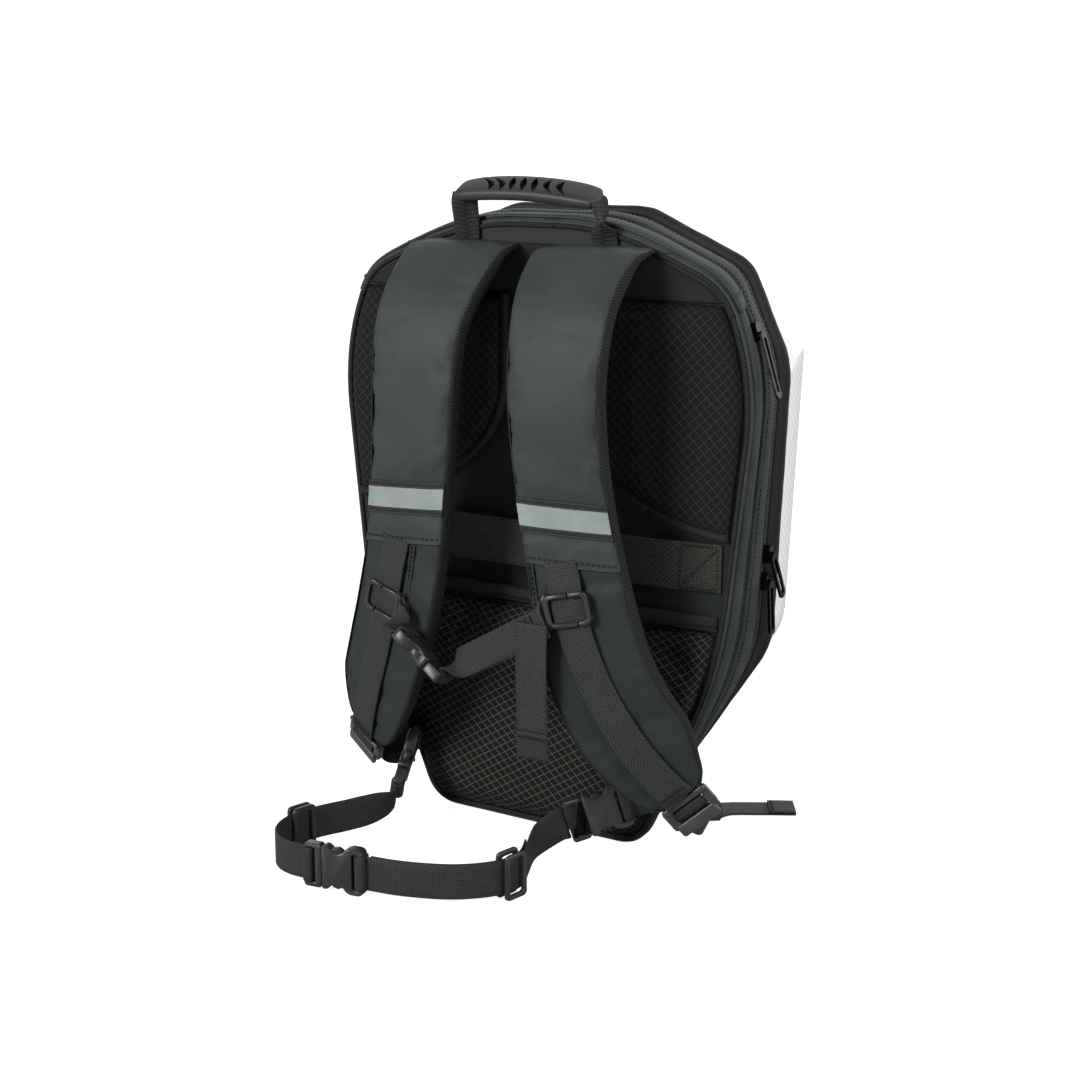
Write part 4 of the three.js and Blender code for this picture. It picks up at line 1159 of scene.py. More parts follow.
def build_luggage_band():
    """Woven band across the back, sewn down at both ends with a crossed box."""
    middle, width, thick, clear_y = 220.0, 35.0, 1.8, -67.0
    flat = BACK_Y - 2 * GAP - thick / 2
    half = np.array([(150, flat, middle), (138, flat, middle), (126, flat - 1.5, middle),
                     (110, clear_y, middle), (60, clear_y, middle)])
    route = np.concatenate([half * (-1, 1, 1), half[::-1]])
    webbing("luggage_band_web", route, constant(UP), "luggage_band", width=width, thick=thick,
            finish=BAND_WEAVE)
    path = Route(half)
    places = np.array([path.at(share) for share in np.linspace(1, 0, 80)])
    box_tall = 15
    rows = []
    for side in (-1, 1):
        x0, x1, z0, z1 = side * 121, side * 147, middle - box_tall, middle + box_tall
        corners = np.array([(x0, z0), (x1, z0), (x1, z1), (x0, z1), (x0, z0), (x1, z1)])
        for i, (a, b) in enumerate(zip(corners[:-1], corners[1:])):
            line = at_depth(np.linspace(a, b, 12), 0)
            line[:, 1] = np.interp(abs(line[:, 0]), places[:, 0], places[:, 1]) - thick / 2 - 0.45
            rows.append(stitch_row(f"box_{side}_{i}", line, TO_WEARER, 3.2, 2.5, 1.6))
    fit(joined("luggage_band_stitches", rows), "binding")


build_back()


# Handle

GRIP_TILT = math.radians(27)
GRIP_MIDDLE = (-4.0, -67.0, 470.3)
GRIP_HALF = 57.0
GRIP_ARCH = 4.2  # rise of its middle over its ends
GRIP_DROP = 1.6  # how far its right end lies lower
GRIP_SECTION = (12.6, 4.9)  # half its depth and half its thickness
HANDLE_WEB = {"width": 20, "thick": 1.9, "finish": RIBBED, "spacing": 1.2}

# Slots in the grip's upper face: place, width, bow and slant
GRIP_SLOTS = [(-33.0, 5.4, 2.5, -14.0), (-24.0, 5.4, 2.5, -14.0),
              (-10.5, 5.6, -2.8, -6.0), (-1.5, 5.6, -2.8, -6.0), (7.5, 5.6, -2.8, -6.0),
              (22.0, -5.4, -2.5, -8.0), (32.5, -5.4, -2.5, -8.0)]


def grip_point(share, deep, thick):
    """A place in the arched grip: share along it, and depth and thickness in its leaning section."""
    x, y, z = GRIP_MIDDLE
    height = z + GRIP_ARCH * (1 - share ** 2) - GRIP_DROP * share
    c, t = math.cos(GRIP_TILT), math.sin(GRIP_TILT)
    return np.array([x + GRIP_HALF * share, y + deep * c - thick * t, height + deep * t + thick * c])


def build_handle():
    """A rubber grip on two webs; the right one turns edge-on to go into the grip's end."""
    def squared(value):
        return math.copysign(abs(value) ** 0.6, value)

    rows = []
    for share in np.sin(np.linspace(-math.pi / 2, math.pi / 2, 61)):
        taper = math.sqrt(max(0.02, 1 - 0.45 * share ** 6))
        tip = math.sqrt(max(0.0, 1 - max(0.0, (abs(share) - 0.95) / 0.05) ** 2)) * 0.5 + 0.5
        deep, thick = (size * taper * tip for size in GRIP_SECTION)
        rows.append([grip_point(share, deep * squared(math.cos(a)), thick * squared(math.sin(a)))
                     for a in np.linspace(0, 2 * math.pi, 32, endpoint=False)])
    grip = face_outwards(loft("grip", rows, RUBBER))
    cut_grip_slots(grip)
    fit(crease_smooth(grip, 50), "rubber", "handle_grip")
    left = [(-57, -62.4, 435), (-57, -63.2, 443), (-57, -65.0, 455), (-57, -66.6, 465), (-57, -65.0, 470.5)]
    webbing("handle_web_left_strap", left, turning(ACROSS, (0.9, 0.35, 0.2)), "handle_web_left", **HANDLE_WEB)
    end, inside = grip_point(0.99, 0, -1.5), grip_point(0.86, 0, -1.0)
    right = [(55.5, -62.4, 435), (55.5, -62.8, 441), (54.9, -66.0, 450), end + (1.5, 0, -7.0), end, inside]
    edge_on = turning(ACROSS, (0, -1, -0.25), 0.25, 0.62)
    webbing("handle_web_right_strap", right, edge_on, "handle_web_right", **HANDLE_WEB)


def cut_grip_slots(grip):
    """Sinks lens and crescent slots into the upper face of the grip."""
    length, back, floor, above = 18.0, 1.5, 1.4, 14.0

    def arc(at, bow, slant):
        return [(at + bow * math.sin(math.pi * s) + slant * (s - 0.5), length * (s - 0.5) - back)
                for s in np.linspace(0, 1, 9)]

    cutters = []
    for i, (at, width, bow, slant) in enumerate(GRIP_SLOTS):
        outline = arc(at, bow, slant) + arc(at, bow + width, slant)[::-1][1:-1]
        rows = [[grip_point(u / GRIP_HALF, v, thick) for u, v in outline] for thick in (floor, above)]
        cutters.append(face_outwards(loft(f"slot_{i}", rows, THREAD)))
    cutter = joined("slots", cutters)
    carve = grip.modifiers.new("slots", "BOOLEAN")
    carve.operation = "DIFFERENCE"
    carve.solver = "EXACT"
    carve.object = cutter
    carve.material_mode = "TRANSFER"
    settle_modifiers(grip)
    bpy.data.objects.remove(cutter)


build_handle()


# Shoulder straps

class Strap:
    """The face of a shoulder strap: places by share of its length, width across and depth out."""

    def __init__(self, side, tilt, web_shift, slider_z, sway, lean):
        self.side, self.web_shift, self.slider_z = side, web_shift, slider_z
        self.slope = math.tan(math.radians(tilt))
        self.sway, self.lean = sway, lean
        places = STRAP_ROWS[:, :3].copy()
        swing = np.array([self.swing(z) for z in places[:, 2]])
        places[:, 0] = side * (places[:, 0] + sway * swing)
        self.face = Route(places)
        self.size = Route(STRAP_ROWS[:, 3:])
        self.shares = np.linspace(0, 1, 500)
        self.heights = np.array([self.face.at(share)[2] for share in self.shares])

    def swing(self, z):
        return max(0.0, (SWAY_Z[0] - z) / (SWAY_Z[0] - SWAY_Z[1])) ** 2

    def frame(self, share):
        point, along = self.face.at(share), self.face.along(share)
        width, thick, twist = self.size.at(share)
        back = math.radians(twist)
        swing = self.swing(point[2])
        rise = math.radians(self.lean * swing)
        across = np.array([math.cos(back) * math.cos(rise), self.side * math.sin(back),
                           self.side * math.cos(back) * math.sin(rise)])
        across = unit(across - along * swing * (across @ along))
        out = unit(np.cross(along, across))
        return point, along, across, out, width, thick

    def share_at(self, z):
        return float(np.interp(-z, -self.heights, self.shares))

    def tilted(self, share, w):
        """The share at which a row lies that far across, as the rows about the band lean."""
        z = self.face.at(share)[2]
        lean = self.slope * smoothstep(z, *TILT_TOP) * smoothstep(z, *TILT_FOOT)
        return self.share_at(z + lean * w) if lean else share

    def on(self, share, w, d):
        point, _, across, out, _, _ = self.frame(self.tilted(share, w))
        return point + across * w + out * d


FACE_COLUMNS = 25
FACE_TUCK = 1.6  # from a strap's edge in to where its face starts
SEWN_MARGIN = 6.5  # rows this near to the band and the hem are sewn down

# Folded seams below the hem: heights of top and bottom, and places across the strap there
PLEATS = {"left": (224.0, 152.0, 13.0, 17.0), "right": (224.0, 184.0, -30.5, -31.5)}


def crown(w, half):
    """How far the face of a strap drops towards its edge."""
    return -STRAP_CROWN * abs(w / half) ** 3


def strap_face(strap, shares, lift):
    """Grid of points over a stretch of a strap's face, its edges turned down over the tape."""
    rows = []
    for share in shares:
        _, _, _, _, width, thick = strap.frame(share)
        half = width / 2
        row = [strap.on(share, 0.1 - half, -0.34 * thick)]
        for w in np.linspace(-(half - FACE_TUCK), half - FACE_TUCK, FACE_COLUMNS):
            row.append(strap.on(share, w, crown(w, half) + lift))
        row.append(strap.on(share, half - 0.1, -0.34 * thick))
        rows.append(row)
    return np.array(rows)


def padded_cover(name, rows, way, pressure, cap, sewn, finish):
    """Leatherette stretched over the foam, blown up between the tapes and the rows that are sewn down."""
    count, columns = rows.shape[:2]
    points = rows.reshape(-1, 3)
    faces = facing(points, grid_faces(count, columns), way)
    numbers = np.arange(count * columns).reshape(count, columns)
    edges = [numbers[0], numbers[-1], numbers[:, 0], numbers[:, -1], numbers[sewn].ravel()]
    points = swell(points, faces, np.unique(np.concatenate(edges)), pressure, cap, slack=0.015)
    cover = make_piece(name, points, faces, finish, sheet_lay(rows, columns // 2))
    return cover, points.reshape(count, columns, 3)


def build_strap(name, strap):
    shares = strap.face.even(3.2)
    hem = strap.share_at(HEM_Z)
    out = strap.frame(hem)[3]
    upper = np.concatenate([shares[shares < hem - 0.004], [hem]])
    lower = np.concatenate([[hem - 0.012], shares[shares > hem]])
    rows = strap_face(strap, upper, 0.0)
    lip, lip_rows = 1.3, 5.0
    raised = np.clip(1 - np.abs(np.arange(len(upper)) - len(upper) + 1) / lip_rows, 0, 1) ** 0.5
    for i, part in enumerate(raised):
        rows[i, 1:-1] += strap.frame(upper[i])[3] * lip * part
    heights = np.array([strap.face.at(share)[2] for share in upper])
    banded = (heights > BAND_Z[1] - SEWN_MARGIN) & (heights < BAND_Z[0] + SEWN_MARGIN)
    sewn = np.flatnonzero(banded | (heights < HEM_Z + SEWN_MARGIN))
    cover, rows = padded_cover(f"strap_cover_{name}", rows, out, 2.6, 2.2, sewn, LEATHERETTE)
    fit(cover, "leatherette", f"strap_pad_{name}")
    under_hem = np.arange(3)
    # The cover below the hem takes the darker leatherette copy: painted shade
    lower_cover, _ = padded_cover(f"strap_lower_cover_{name}", strap_face(strap, lower, -0.5), out, 2.2, 0.9,
                                  under_hem, SHADED_LOWER_LEATHERETTE)
    fit(lower_cover, "leatherette")
    build_strap_hem(name, strap, rows[-1], hem)
    build_pleat(name, strap)
    build_strap_sides(name, strap, shares)
    build_reflective_band(name, strap)
    build_strap_webbing(name, strap, hem)


def strap_line(strap, share, margin, lift):
    """A line straight across the strap's face."""
    half = strap.frame(share)[4] / 2
    return np.array([strap.on(share, w, crown(w, half) + lift)
                     for w in np.linspace(margin - half, half - margin, 30)])


def build_strap_hem(name, strap, edge, hem):
    """Rolled lower edge of the upper cover, with its row of stitches."""
    _, along, _, out, _, _ = strap.frame(hem)
    rows = [tube_ring(p, along, out, 0.95) for p in edge[1:-1] - out * 0.55]
    fit_loft(f"strap_hem_{name}", rows, LEATHERETTE, "leatherette")
    row = strap_line(strap, strap.share_at(HEM_Z + 3.6), 2.0, 1.6)
    fit(stitch_row(f"strap_hem_stitches_{name}", row, out, 4.0, 2.9, 1.7), "binding")


def build_pleat(name, strap):
    """A folded seam down from the hem, with its row of stitches."""
    top, bottom, first, last = PLEATS[name]
    aside = 2.6
    fold, seam = [], []
    for s in np.linspace(0, 1, 24):
        share = strap.share_at(top + (bottom - top) * s)
        w = first + (last - first) * s
        half = strap.frame(share)[4] / 2
        fold.append(strap.on(share, w, crown(w, half) + 0.25 - 0.9 * s ** 6))
        seam.append(strap.on(share, w - aside, crown(w - aside, half) + 0.35))
    rows = tube_rows(fold, 0.95, 8, closed=False)
    # The pleat takes the same darker leatherette copy: painted shade
    fit_loft(f"strap_pleat_{name}", rows, SHADED_LOWER_LEATHERETTE, "leatherette")
    out = strap.frame(strap.share_at(top))[3]
    fit(stitch_row(f"strap_pleat_stitches_{name}", seam, out, 3.6, 2.6, 1.1), "binding")


def build_strap_sides(name, strap, shares):
    """Woven tape round the foam's edges and the net lining against the wearer."""
    sides = {"tape_inner": [], "tape_outer": [], "lining": []}
    for share in shares:
        point, _, across, out, width, thick = strap.frame(share)
        half = width / 2
        bow = min(1.0, thick / 13)
        profile = [(half - 1.8, -1.4), (half - 0.5, -1.9), (half + 0.35 * bow, -0.25 * thick - 0.6),
                   (half + 0.6 * bow, -0.5 * thick), (half + 0.35 * bow, -0.78 * thick),
                   (half - 0.5, -thick + 0.3), (half - 2.0, -thick + 0.1)]
        for key, sign in (("tape_inner", -strap.side), ("tape_outer", strap.side)):
            sides[key].append([point + across * sign * w + out * d for w, d in profile])
        sides["lining"].append([point + across * w + out * (-thick + 0.15 - 0.5 * (1 - (w / half) ** 2))
                                for w in np.linspace(-(half - 1.5), half - 1.5, 13)])
    for key, finish, slot in (("tape_inner", EDGE_TAPE, "binding"), ("tape_outer", EDGE_TAPE, "binding"),
                              ("lining", NET_UPPER, "mesh")):
        fit(loft(f"strap_{key}_{name}", sides[key], finish, loop_columns=False), slot)


def build_reflective_band(name, strap):
    """Reflective tape across the strap between two sewn woven strips."""
    strip_tall, thick = 4.6, 0.8

    def strip(label, top, bottom, lift, finish, slot, *nodes):
        rows = []
        for z in np.linspace(top, bottom, 5):
            share = strap.share_at(z)
            half = strap.frame(share)[4] / 2
            over = [(w, crown(w, half) + lift) for w in np.linspace(-(half - 1.0), half - 1.0, FACE_COLUMNS)]
            under = [(w, d - thick) for w, d in reversed(over)]
            rows.append([strap.on(share, w, d) for w, d in over + under])
        fit_loft(f"{label}_{name}", rows, finish, slot, *nodes, crease=50)

    top, bottom = BAND_Z
    strip("reflective_tape", top, bottom, 1.9, REFLECTIVE, "reflective", f"reflective_band_{name}")
    strip("band_strip_upper", top + strip_tall, top + 0.1, 1.5, WEBBING, "webbing")
    strip("band_strip_lower", bottom - 0.1, bottom - strip_tall, 1.5, WEBBING, "webbing")
    rows = []
    for label, z in (("upper", top + 2.4), ("lower", bottom - 2.4)):
        share = strap.share_at(z)
        rows.append(stitch_row(f"band_stitches_{label}", strap_line(strap, share, 2.0, 1.7),
                               strap.frame(share)[3], 2.8, 2.1, 0.9))
    fit(joined(f"band_stitches_{name}", rows), "binding")


def build_strap_webbing(name, strap, hem):
    """Webbing from under the hem down to the ladder lock, lifted where the chest slider holds it."""
    at_slider = strap.share_at(strap.slider_z)
    first, last = hem - 0.006, 0.999

    def shift(share):
        return strap.side * strap.web_shift * (1 - (share - hem) / (1 - hem))

    def lift(share):
        away = (share - at_slider) / 0.06
        return 0.5 + 1.4 * smoothstep(share, hem, hem + 0.03) + 1.7 * math.exp(-away ** 2)

    def across(share, along):
        return strap.frame(first + (last - first) * share)[2]

    route = [strap.on(s, shift(s), lift(s)) for s in np.linspace(first, last, 30)]
    webbing(f"strap_web_{name}", route, across, f"strap_webbing_{name}")
    tacks = []
    for k, share in enumerate((0.93, 0.965)):
        _, _, wide, out, _, _ = strap.frame(share)
        middle = strap.on(share, shift(share), lift(share) + WEB_THICK / 2 + 0.3)
        tacks.append(bartack(f"tack_{k}", middle, wide, out, WEB - 5, 2.2))
    fit(joined(f"strap_web_tacks_{name}", tacks), "binding")
    build_sternum_slider(name, strap, at_slider, shift(at_slider), lift(at_slider))
    build_ladder_lock(name, strap)


# Plastic fittings, made flat: length along X, webbing width along Y, thickness along Z

def moulded(name, outline, thick, bevel, holes=(), lift=0.0):
    """A flat plastic piece with rounded edges and holes right through it."""
    shape = bmesh.new()
    edges = []
    for loop in [outline, *holes]:
        corners = [shape.verts.new((x * MM, y * MM, (lift - thick / 2) * MM)) for x, y in loop]
        edges += [shape.edges.new((a, b)) for a, b in zip(corners, corners[1:] + corners[:1])]
    filled = bmesh.ops.triangle_fill(shape, edges=edges, use_beauty=True, use_dissolve=True)
    faces = [g for g in filled["geom"] if isinstance(g, bmesh.types.BMFace)]
    raised = bmesh.ops.extrude_face_region(shape, geom=faces)
    corners = [g for g in raised["geom"] if isinstance(g, bmesh.types.BMVert)]
    bmesh.ops.translate(shape, verts=corners, vec=(0, 0, thick * MM))
    bmesh.ops.recalc_face_normals(shape, faces=shape.faces)
    mesh = bpy.data.meshes.new(name)
    shape.to_mesh(mesh)
    shape.free()
    mesh.materials.append(PLASTIC)
    piece = bpy.data.objects.new(name, mesh)
    bpy.context.scene.collection.objects.link(piece)
    return rounded_edges(piece, bevel, 40)


CORNER_STEPS = 5


def round_box(x0, x1, half, radius):
    """Outline of a rectangle with rounded corners, from x0 to x1 and half either side."""
    points = []
    for cx, cy, start in ((x1 - radius, half - radius, 0), (x0 + radius, half - radius, 90),
                          (x0 + radius, radius - half, 180), (x1 - radius, radius - half, 270)):
        for a in np.radians(np.linspace(start, start + 90, CORNER_STEPS)):
            points.append((cx + radius * math.cos(a), cy + radius * math.sin(a)))
    return points


def stand(piece, origin, along, wide):
    """Turns a flat piece into its place: its length along one direction and its width along another."""
    x = unit(np.asarray(along, float))
    y = np.asarray(wide, float)
    y = unit(y - x * (y @ x))
    turn = Matrix(np.stack([x, y, np.cross(x, y)], axis=1).tolist()).to_4x4()
    piece.data.transform(Matrix.Translation(Vector(np.asarray(origin, float) * MM)) @ turn)
    return crease_smooth(piece, 50)


def split_ring(half, splits):
    """Two halves of a rounded frame whose long bars are split; splits are the places of the two gaps."""
    reach, bar, gap = 12.0, 3.4, 0.5
    within = reach - bar
    outer = round_box(-reach, reach, half, 5)
    inner = round_box(-within, within, half - bar, 3)
    upper, lower = splits
    pieces = []
    for sign, arc in ((1, slice(0, 2 * CORNER_STEPS)), (-1, slice(2 * CORNER_STEPS, 4 * CORNER_STEPS))):
        ends = [(reach, lower + sign * gap), (-reach, upper + sign * gap)][::sign]
        near = [(within, lower + sign * gap), (-within, upper + sign * gap)][::sign]
        loop = [ends[0], *outer[arc], ends[1], near[1], *inner[arc][::-1], near[0]]
        pieces.append(moulded("half", loop, 3.4, 0.8, lift=2.2))
    return pieces


def build_sternum_slider(name, strap, share, shift, lift):
    """A frame of split bars round the strap's webbing, with a bowed hook for the chest strap."""
    _, along, across, _, _, _ = strap.frame(share)
    half = WEB / 2 + 4
    inner = -strap.side
    reach = 13
    parts = split_ring(half, (-inner * 2.0, -inner * 6.0))
    parts.append(moulded("under", round_box(-3, 3, half - 1, 2), 2.0, 0.6, lift=-2.1))

    def bow(rise, inset):
        return [(x, inner * (half - 2.4 + inset
                             + rise * max(0.0, math.sin(math.pi * (x + reach) / (2 * reach))) ** 0.55))
                for x in np.linspace(inset - reach, reach - inset, 15)]

    parts.append(moulded("hook", bow(8.6, 0.0), 3.2, 0.8, [bow(4.4, 1.6)], 1.4))
    piece = joined(f"sternum_loop_{name}", parts)
    stand(piece, strap.on(share, shift, lift), along, across)
    fit(piece, "plastic", f"sternum_slider_{name}")


def build_ladder_lock(name, strap):
    """The ladder lock at the strap's tip: two slots, webbing wound over the bar between them, and a lip."""
    _, along, across, out, _, thick = strap.frame(1.0)
    origin = strap.on(1.0, 0, -thick / 2) + along
    half, slot_half = 19.0, WEB / 2 + 0.4
    slots = [round_box(x, x + 4.0, slot_half, 1.2) for x in (3.5, 10.5)]
    plate = moulded("plate", round_box(0, 18, half, 2.6), 5.0, 0.8, slots)
    lip = moulded("lip", round_box(14.2, 24, half - 2.5, 2.4), 3.0, 1.0, lift=2.5)
    bar = moulded("bar", round_box(-1.2, 3.4, half - 0.8, 2), 2.6, 1.0, lift=3.0)
    piece = joined(f"ladder_lock_frame_{name}", [plate, lip, bar])
    piece.data.materials[0] = GREY_PLASTIC
    stand(piece, origin, along, across)
    fit(piece, "plastic", f"ladder_lock_{name}")
    over_bar = [(5.2, -2.0), (5.4, 1.6), (7.0, 3.2), (11.0, 3.2), (12.6, 1.6), (12.8, -2.0)]
    wound = [origin + along * x + out * z for x, z in over_bar]
    webbing(f"lock_web_{name}", wound, constant(across), finish=RIBBED, spacing=1.2)
    turn = origin + along * 12.5 - out * 2.8
    foot = np.array([strap.side * 115.0, -54.0, 40.0])
    route = [turn, turn + along * 6 - out * 7, foot + (strap.side * 14, -13, 0), foot]
    webbing(f"lower_web_{name}", route, turning(across * strap.side, (0, 0.5, 1)), f"lower_webbing_{name}")


for strap_name, strap_values in STRAPS.items():
    build_strap(strap_name, Strap(**strap_values))


# Buckles, chest strap and hip belt

BUCKLE_HALF = 17.0
BUCKLE_LENGTH = 46.3
CHEST_WEB = 22.0

# One side of a socket, and an arm's head at its waist: place along the buckle, and how far in from its side
SOCKET_SIDE = [(0, 3), (1, 1), (3.5, 0), (10, 0), (13, 1.2), (15.5, 4), (20, 5.6), (24.5, 4.4), (27.5, 1.6),
               (30, 1), (32, 1.6)]
ARM_HEAD = [(15.5, 6.5), (17, 3.2), (20, 1.8), (24, 2.6), (26.5, 5.6)]


def wind_web(name, origin, along, wide, first, last, rise, width):
    """Webbing wound round a bar, through the slot beside it; first and last are its ends along the buckle."""
    along = unit(np.asarray(along, float))
    wide = unit(wide - along * (wide @ along))
    out = np.cross(along, wide)
    reach = last - first
    turns = [(first + 0.5, 0.0), (first + 0.12 * reach, 0.86), (first + 0.4 * reach, 1.0),
             (last - 0.25 * reach, 0.95), (last - 0.4, 0.3)]
    profile = turns + [(x, -r) for x, r in reversed(turns[1:])] + turns[:1]
    route = [np.asarray(origin, float) + along * x + out * rise * r for x, r in profile]
    webbing(name, route, constant(wide), width=width, spacing=1.5)


def build_buckle(name, origin, towards, wide, width=WEB, ladder=False):
    """A fastened side-release buckle: a waisted socket, and a plug whose arms show at the waist."""
    along = np.asarray(towards, float) - np.asarray(origin, float)
    wide = np.asarray(wide, float)
    half = BUCKLE_HALF
    side = [(x, half - inset) for x, inset in SOCKET_SIDE]
    outline = side + [(x, -y) for x, y in reversed(side)]
    socket = moulded(f"{name}_socket_body", outline, 9.0, 1.9, [round_box(4, 8, half - 4, 1.2)])
    if ladder:
        socket.data.materials[0] = GREY_PLASTIC
    fit(stand(socket, origin, along, wide), "plastic", f"{name}_socket")
    holes, ribs, plug_web = [round_box(37.6, 42.2, half - 4.4, 1.2)], [], (40.0, 47.4, 4.3)
    if ladder:
        holes = [round_box(x, x + 3.2, half - 4.2, 1.2) for x in (33.6, 41.4)]
        ribs = [moulded("rib", [(37.2, y), (41.0, y), (41.0, y + 1.0), (37.2, y + 1.0)], 2.4, 0.3, lift=3.6)
                for y in np.arange(-12.0, 12.0, 1.9)]
        plug_web = (35.2, 43.4, 1.6)
    bars = moulded("frame", round_box(32.3, BUCKLE_LENGTH, half - 1, 2.6), 7.6, 1.0, holes)
    heads = [moulded("head", [(x, sign * (half - inset)) for x, inset in ARM_HEAD], 5.0, 1.0)
             for sign in (1, -1)]
    plug = joined(f"{name}_plug_body", [bars, *heads, *ribs])
    fit(stand(plug, origin, along, wide), "plastic", f"{name}_plug")
    wind_web(f"{name}_socket_web", origin, along, wide, -1.2, 6.6, 4.9, width)
    wind_web(f"{name}_plug_web", origin, along, wide, *plug_web, width)


def beyond(origin, towards, distance):
    """A point on a buckle's axis, beyond the end that comes first."""
    origin, towards = np.asarray(origin, float), np.asarray(towards, float)
    return origin + unit(origin - towards) * distance


def build_chest_strap():
    """The fastened chest strap, slack between the two sliders, with its free end hanging down."""
    origin, towards = np.array([-56.0, -151.0, 166.0]), np.array([-12.0, -151.0, 131.0])
    edge_on = np.array([-0.235, 0.926, -0.296])
    build_buckle("chest_buckle", origin, towards, edge_on, CHEST_WEB)
    left = [(-69, -137.6, 174), (-67, -145, 173.5), beyond(origin, towards, 6), beyond(origin, towards, 0.2)]
    webbing("chest_strap_left", left, turning((0.2, 0.4, 0.9), edge_on), "chest_web_left", width=CHEST_WEB)
    axis = unit(towards - origin)
    end = origin + axis * (BUCKLE_LENGTH - 5.7) + unit(np.cross(axis, edge_on)) * 4.4
    right = [(55, -139.1, 187), (38, -141, 177), (10, -142.5, 160.5), (-8, -145.5, 150), end]
    hanging = np.array([-0.45, 0.1, 0.87])
    webbing("chest_strap_right", right, turning(hanging, edge_on, 0.7, 1.0), "chest_web_right",
            width=CHEST_WEB)
    rows = [bartack(f"loop_{k}", np.array([47.0 - 4.0 * k, -141.2, 182.4 - 2.4 * k]), hanging,
                    (-0.2, -0.97, 0.0), 18, 2.0) for k in range(3)]
    fit(joined("chest_loop_tacks", rows), "binding")
    tail = [(47, -144, 186), (47, -144.6, 160), (47, -143, 120), (47.5, -142, 88)]
    webbing("chest_strap_tail", tail, constant(ACROSS), "chest_tail")
    hem = [(47.3, -143.9, 108), (47.5, -143.2, 98), (47.5, -142.6, 87.6)]
    webbing("chest_tail_hem", hem, constant(ACROSS), thick=2.0)
    tack = bartack("chest_tail_tack", np.array([47.4, -145.0, 104.0]), ACROSS, (0, -1, 0.05), 21, 2.4)
    fit(tack, "binding")


def build_hip_belt():
    """A tab and a buckle on each side, and webbing on edge round the floor to a fastened buckle."""
    right_from, right_to = (90, -79, 44), (52.5, -109, 29)
    tab = [(108.5, -66.2, 46.5), (102, -71.6, 47.5),
           beyond(right_from, right_to, 6), beyond(right_from, right_to, -4)]
    webbing("hip_tab_right_web", tab, constant(UP), "hip_tab_right", thick=2.4)
    build_buckle("hip_buckle_right", right_from, right_to, UP, WEB, True)

    edge_on = np.array([0.46, -0.63, 0.5])
    left_from, left_to = (-95, -82, 60), (-90, -112, 30)
    tab = [beyond(left_from, left_to, 9) + (-1, -2.6, 0),
           beyond(left_from, left_to, 6), beyond(left_from, left_to, 0.6)]
    webbing("hip_tab_left_web", tab, constant(edge_on), "hip_tab_left", thick=3)
    build_buckle("hip_buckle_left", left_from, left_to, edge_on)
    build_hip_wing()

    middle_from, middle_to, level = (-33, -231, 17.3), (-82, -238, 17.3), 16.9
    build_buckle("belt_buckle", middle_from, middle_to, UP)

    def end_of(origin, towards, extra):
        return beyond(origin, towards, -BUCKLE_LENGTH - extra)

    start = beyond(middle_from, middle_to, 0.6)
    start[2] = level
    right = [end_of(right_from, right_to, 0.6), end_of(right_from, right_to, 6), (42, -128, 20),
             (48, -149, level), (55, -168, level), (51, -188, level), (29, -211, level), (-6, -226, level),
             start]
    webbing("belt_strap_right", right, constant(UP), "belt_web_right")
    line = Route(right)
    inside = 2.2
    fold = [line.at(share) + unit(np.cross(line.along(share), UP)) * inside
            for share in np.linspace(0.36, 0.985, 9)]
    webbing("belt_strap_fold", fold, constant(UP), "belt_fold")

    left = [end_of(middle_from, middle_to, 0.6), (-94, -237, level), (-108, -232, level), (-119, -220, level),
            (-124, -200, level), (-118, -175, level), (-106, -150, level), (-97, -132, 18),
            end_of(left_from, left_to, 7), end_of(left_from, left_to, 0.6)]
    webbing("belt_strap_left", left, turning(UP, edge_on, 0.7, 1.0), "belt_web_left")
    build_triglide("triglide_right", right, 0.57, 2, 1.1)
    build_triglide("triglide_left", left, 0.5, 1, 0.0)


def build_hip_wing():
    """The leatherette corner between the side seam and the left hip tab."""
    bulge, thick = np.array([-1.0, -1.0, 0.0]), np.array([1.4, 1.2, 0.0])
    seam = [np.array([-half_width(z, 4.0), BACK_Y - 0.5, z]) for z in np.linspace(86, 42, 12)]
    edge = np.linspace((-116.0, -86.0, 70.0), (-99.0, -81.0, 56.0), 12)
    rows = []
    for a, b in zip(seam, edge):
        face = [a * (1 - s) + b * s + bulge * math.sin(math.pi * s) for s in np.linspace(0, 1, 10)]
        rows.append(face + [p + thick for p in reversed(face)])
    fit_loft("hip_wing_left", rows, LEATHERETTE, "leatherette", crease=50)


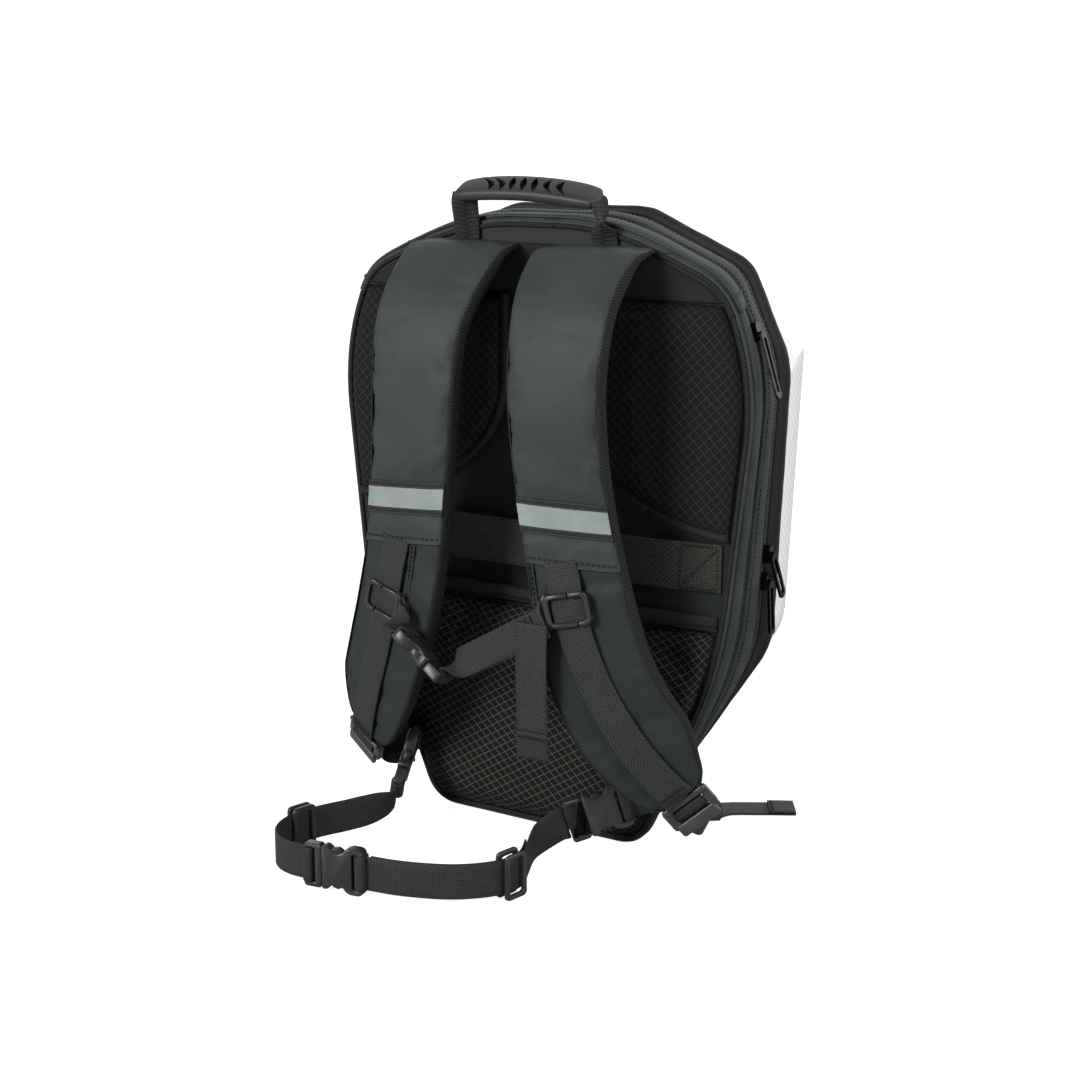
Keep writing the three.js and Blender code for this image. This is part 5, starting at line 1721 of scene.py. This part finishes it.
def build_triglide(name, route, share, layers, aside):
    """A slide loop: two rounded frames, one on either side of the webbing's layers."""
    line = Route(route)
    along = line.along(share)
    origin = line.at(share) + unit(np.cross(along, UP)) * aside
    half = WEB / 2 + 4
    gap = layers * (WEB_THICK + 1.2) + 1.8
    outline, hole = round_box(-10, 10, half, 3.4), round_box(-6.2, 6.2, half - 3.6, 2)
    frames = [moulded("side", outline, 3.0, 0.9, [hole], sign * (gap / 2 + 0.6)) for sign in (1, -1)]
    piece = joined(f"{name}_loop", frames)
    fit(stand(piece, origin, along, UP), "plastic", name)


def build_tail():
    """The free end of the right strap, down to the floor and out to the side, with a folded end."""
    route = [(149.7, -85.8, 48.3), (152.1, -81, 43.4), (150.5, -71, 40.5), (144.5, -58, 37.5), (135, -38, 29),
             (122, -14, 14), (109, 8, 4), (103, 25, 1.3), (110, 42, 1.3), (132, 57, 1.3), (156, 71, 1.3)]
    in_lock, on_edge = np.array([0.7, 0.3, 0.64]), np.array([0.35, 0.3, 0.88])

    def flat(share, along):
        return np.cross(along, UP)

    def across(share, along):
        hang, lie = smoothstep(share, 0, 0.2), smoothstep(share, 0.3, 0.65)
        hanging = in_lock * (1 - hang) + on_edge * hang
        return hanging * (1 - lie) + unit(flat(share, along)) * lie

    webbing("strap_tail_web", route, across, "strap_tail_right")
    hem = [(138.5, 61, 2.9), (147, 65.8, 3.0), (156, 71, 2.8)]
    webbing("strap_tail_hem", hem, flat, thick=1.8)
    way = unit(np.array([0.86, 0.5, 0.0]))
    tack = bartack("strap_tail_tack", np.array([141.0, 62.4, 3.8]), np.cross(way, UP), UP, 21, 2.4)
    fit(tack, "binding")


build_chest_strap()
build_hip_belt()
build_tail()


# Zip sliders and pulls

def finish_zip_pulls():
    """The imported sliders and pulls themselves, in metal with rounded edges."""
    for i in (1, 2, 3):
        for part in ("slider", "pull"):
            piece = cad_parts[f"zip_{part}_{i}"]
            piece.data.materials.clear()
            piece.data.materials.append(METAL)
            add_bevel(piece, 0.7, 40)


finish_zip_pulls()
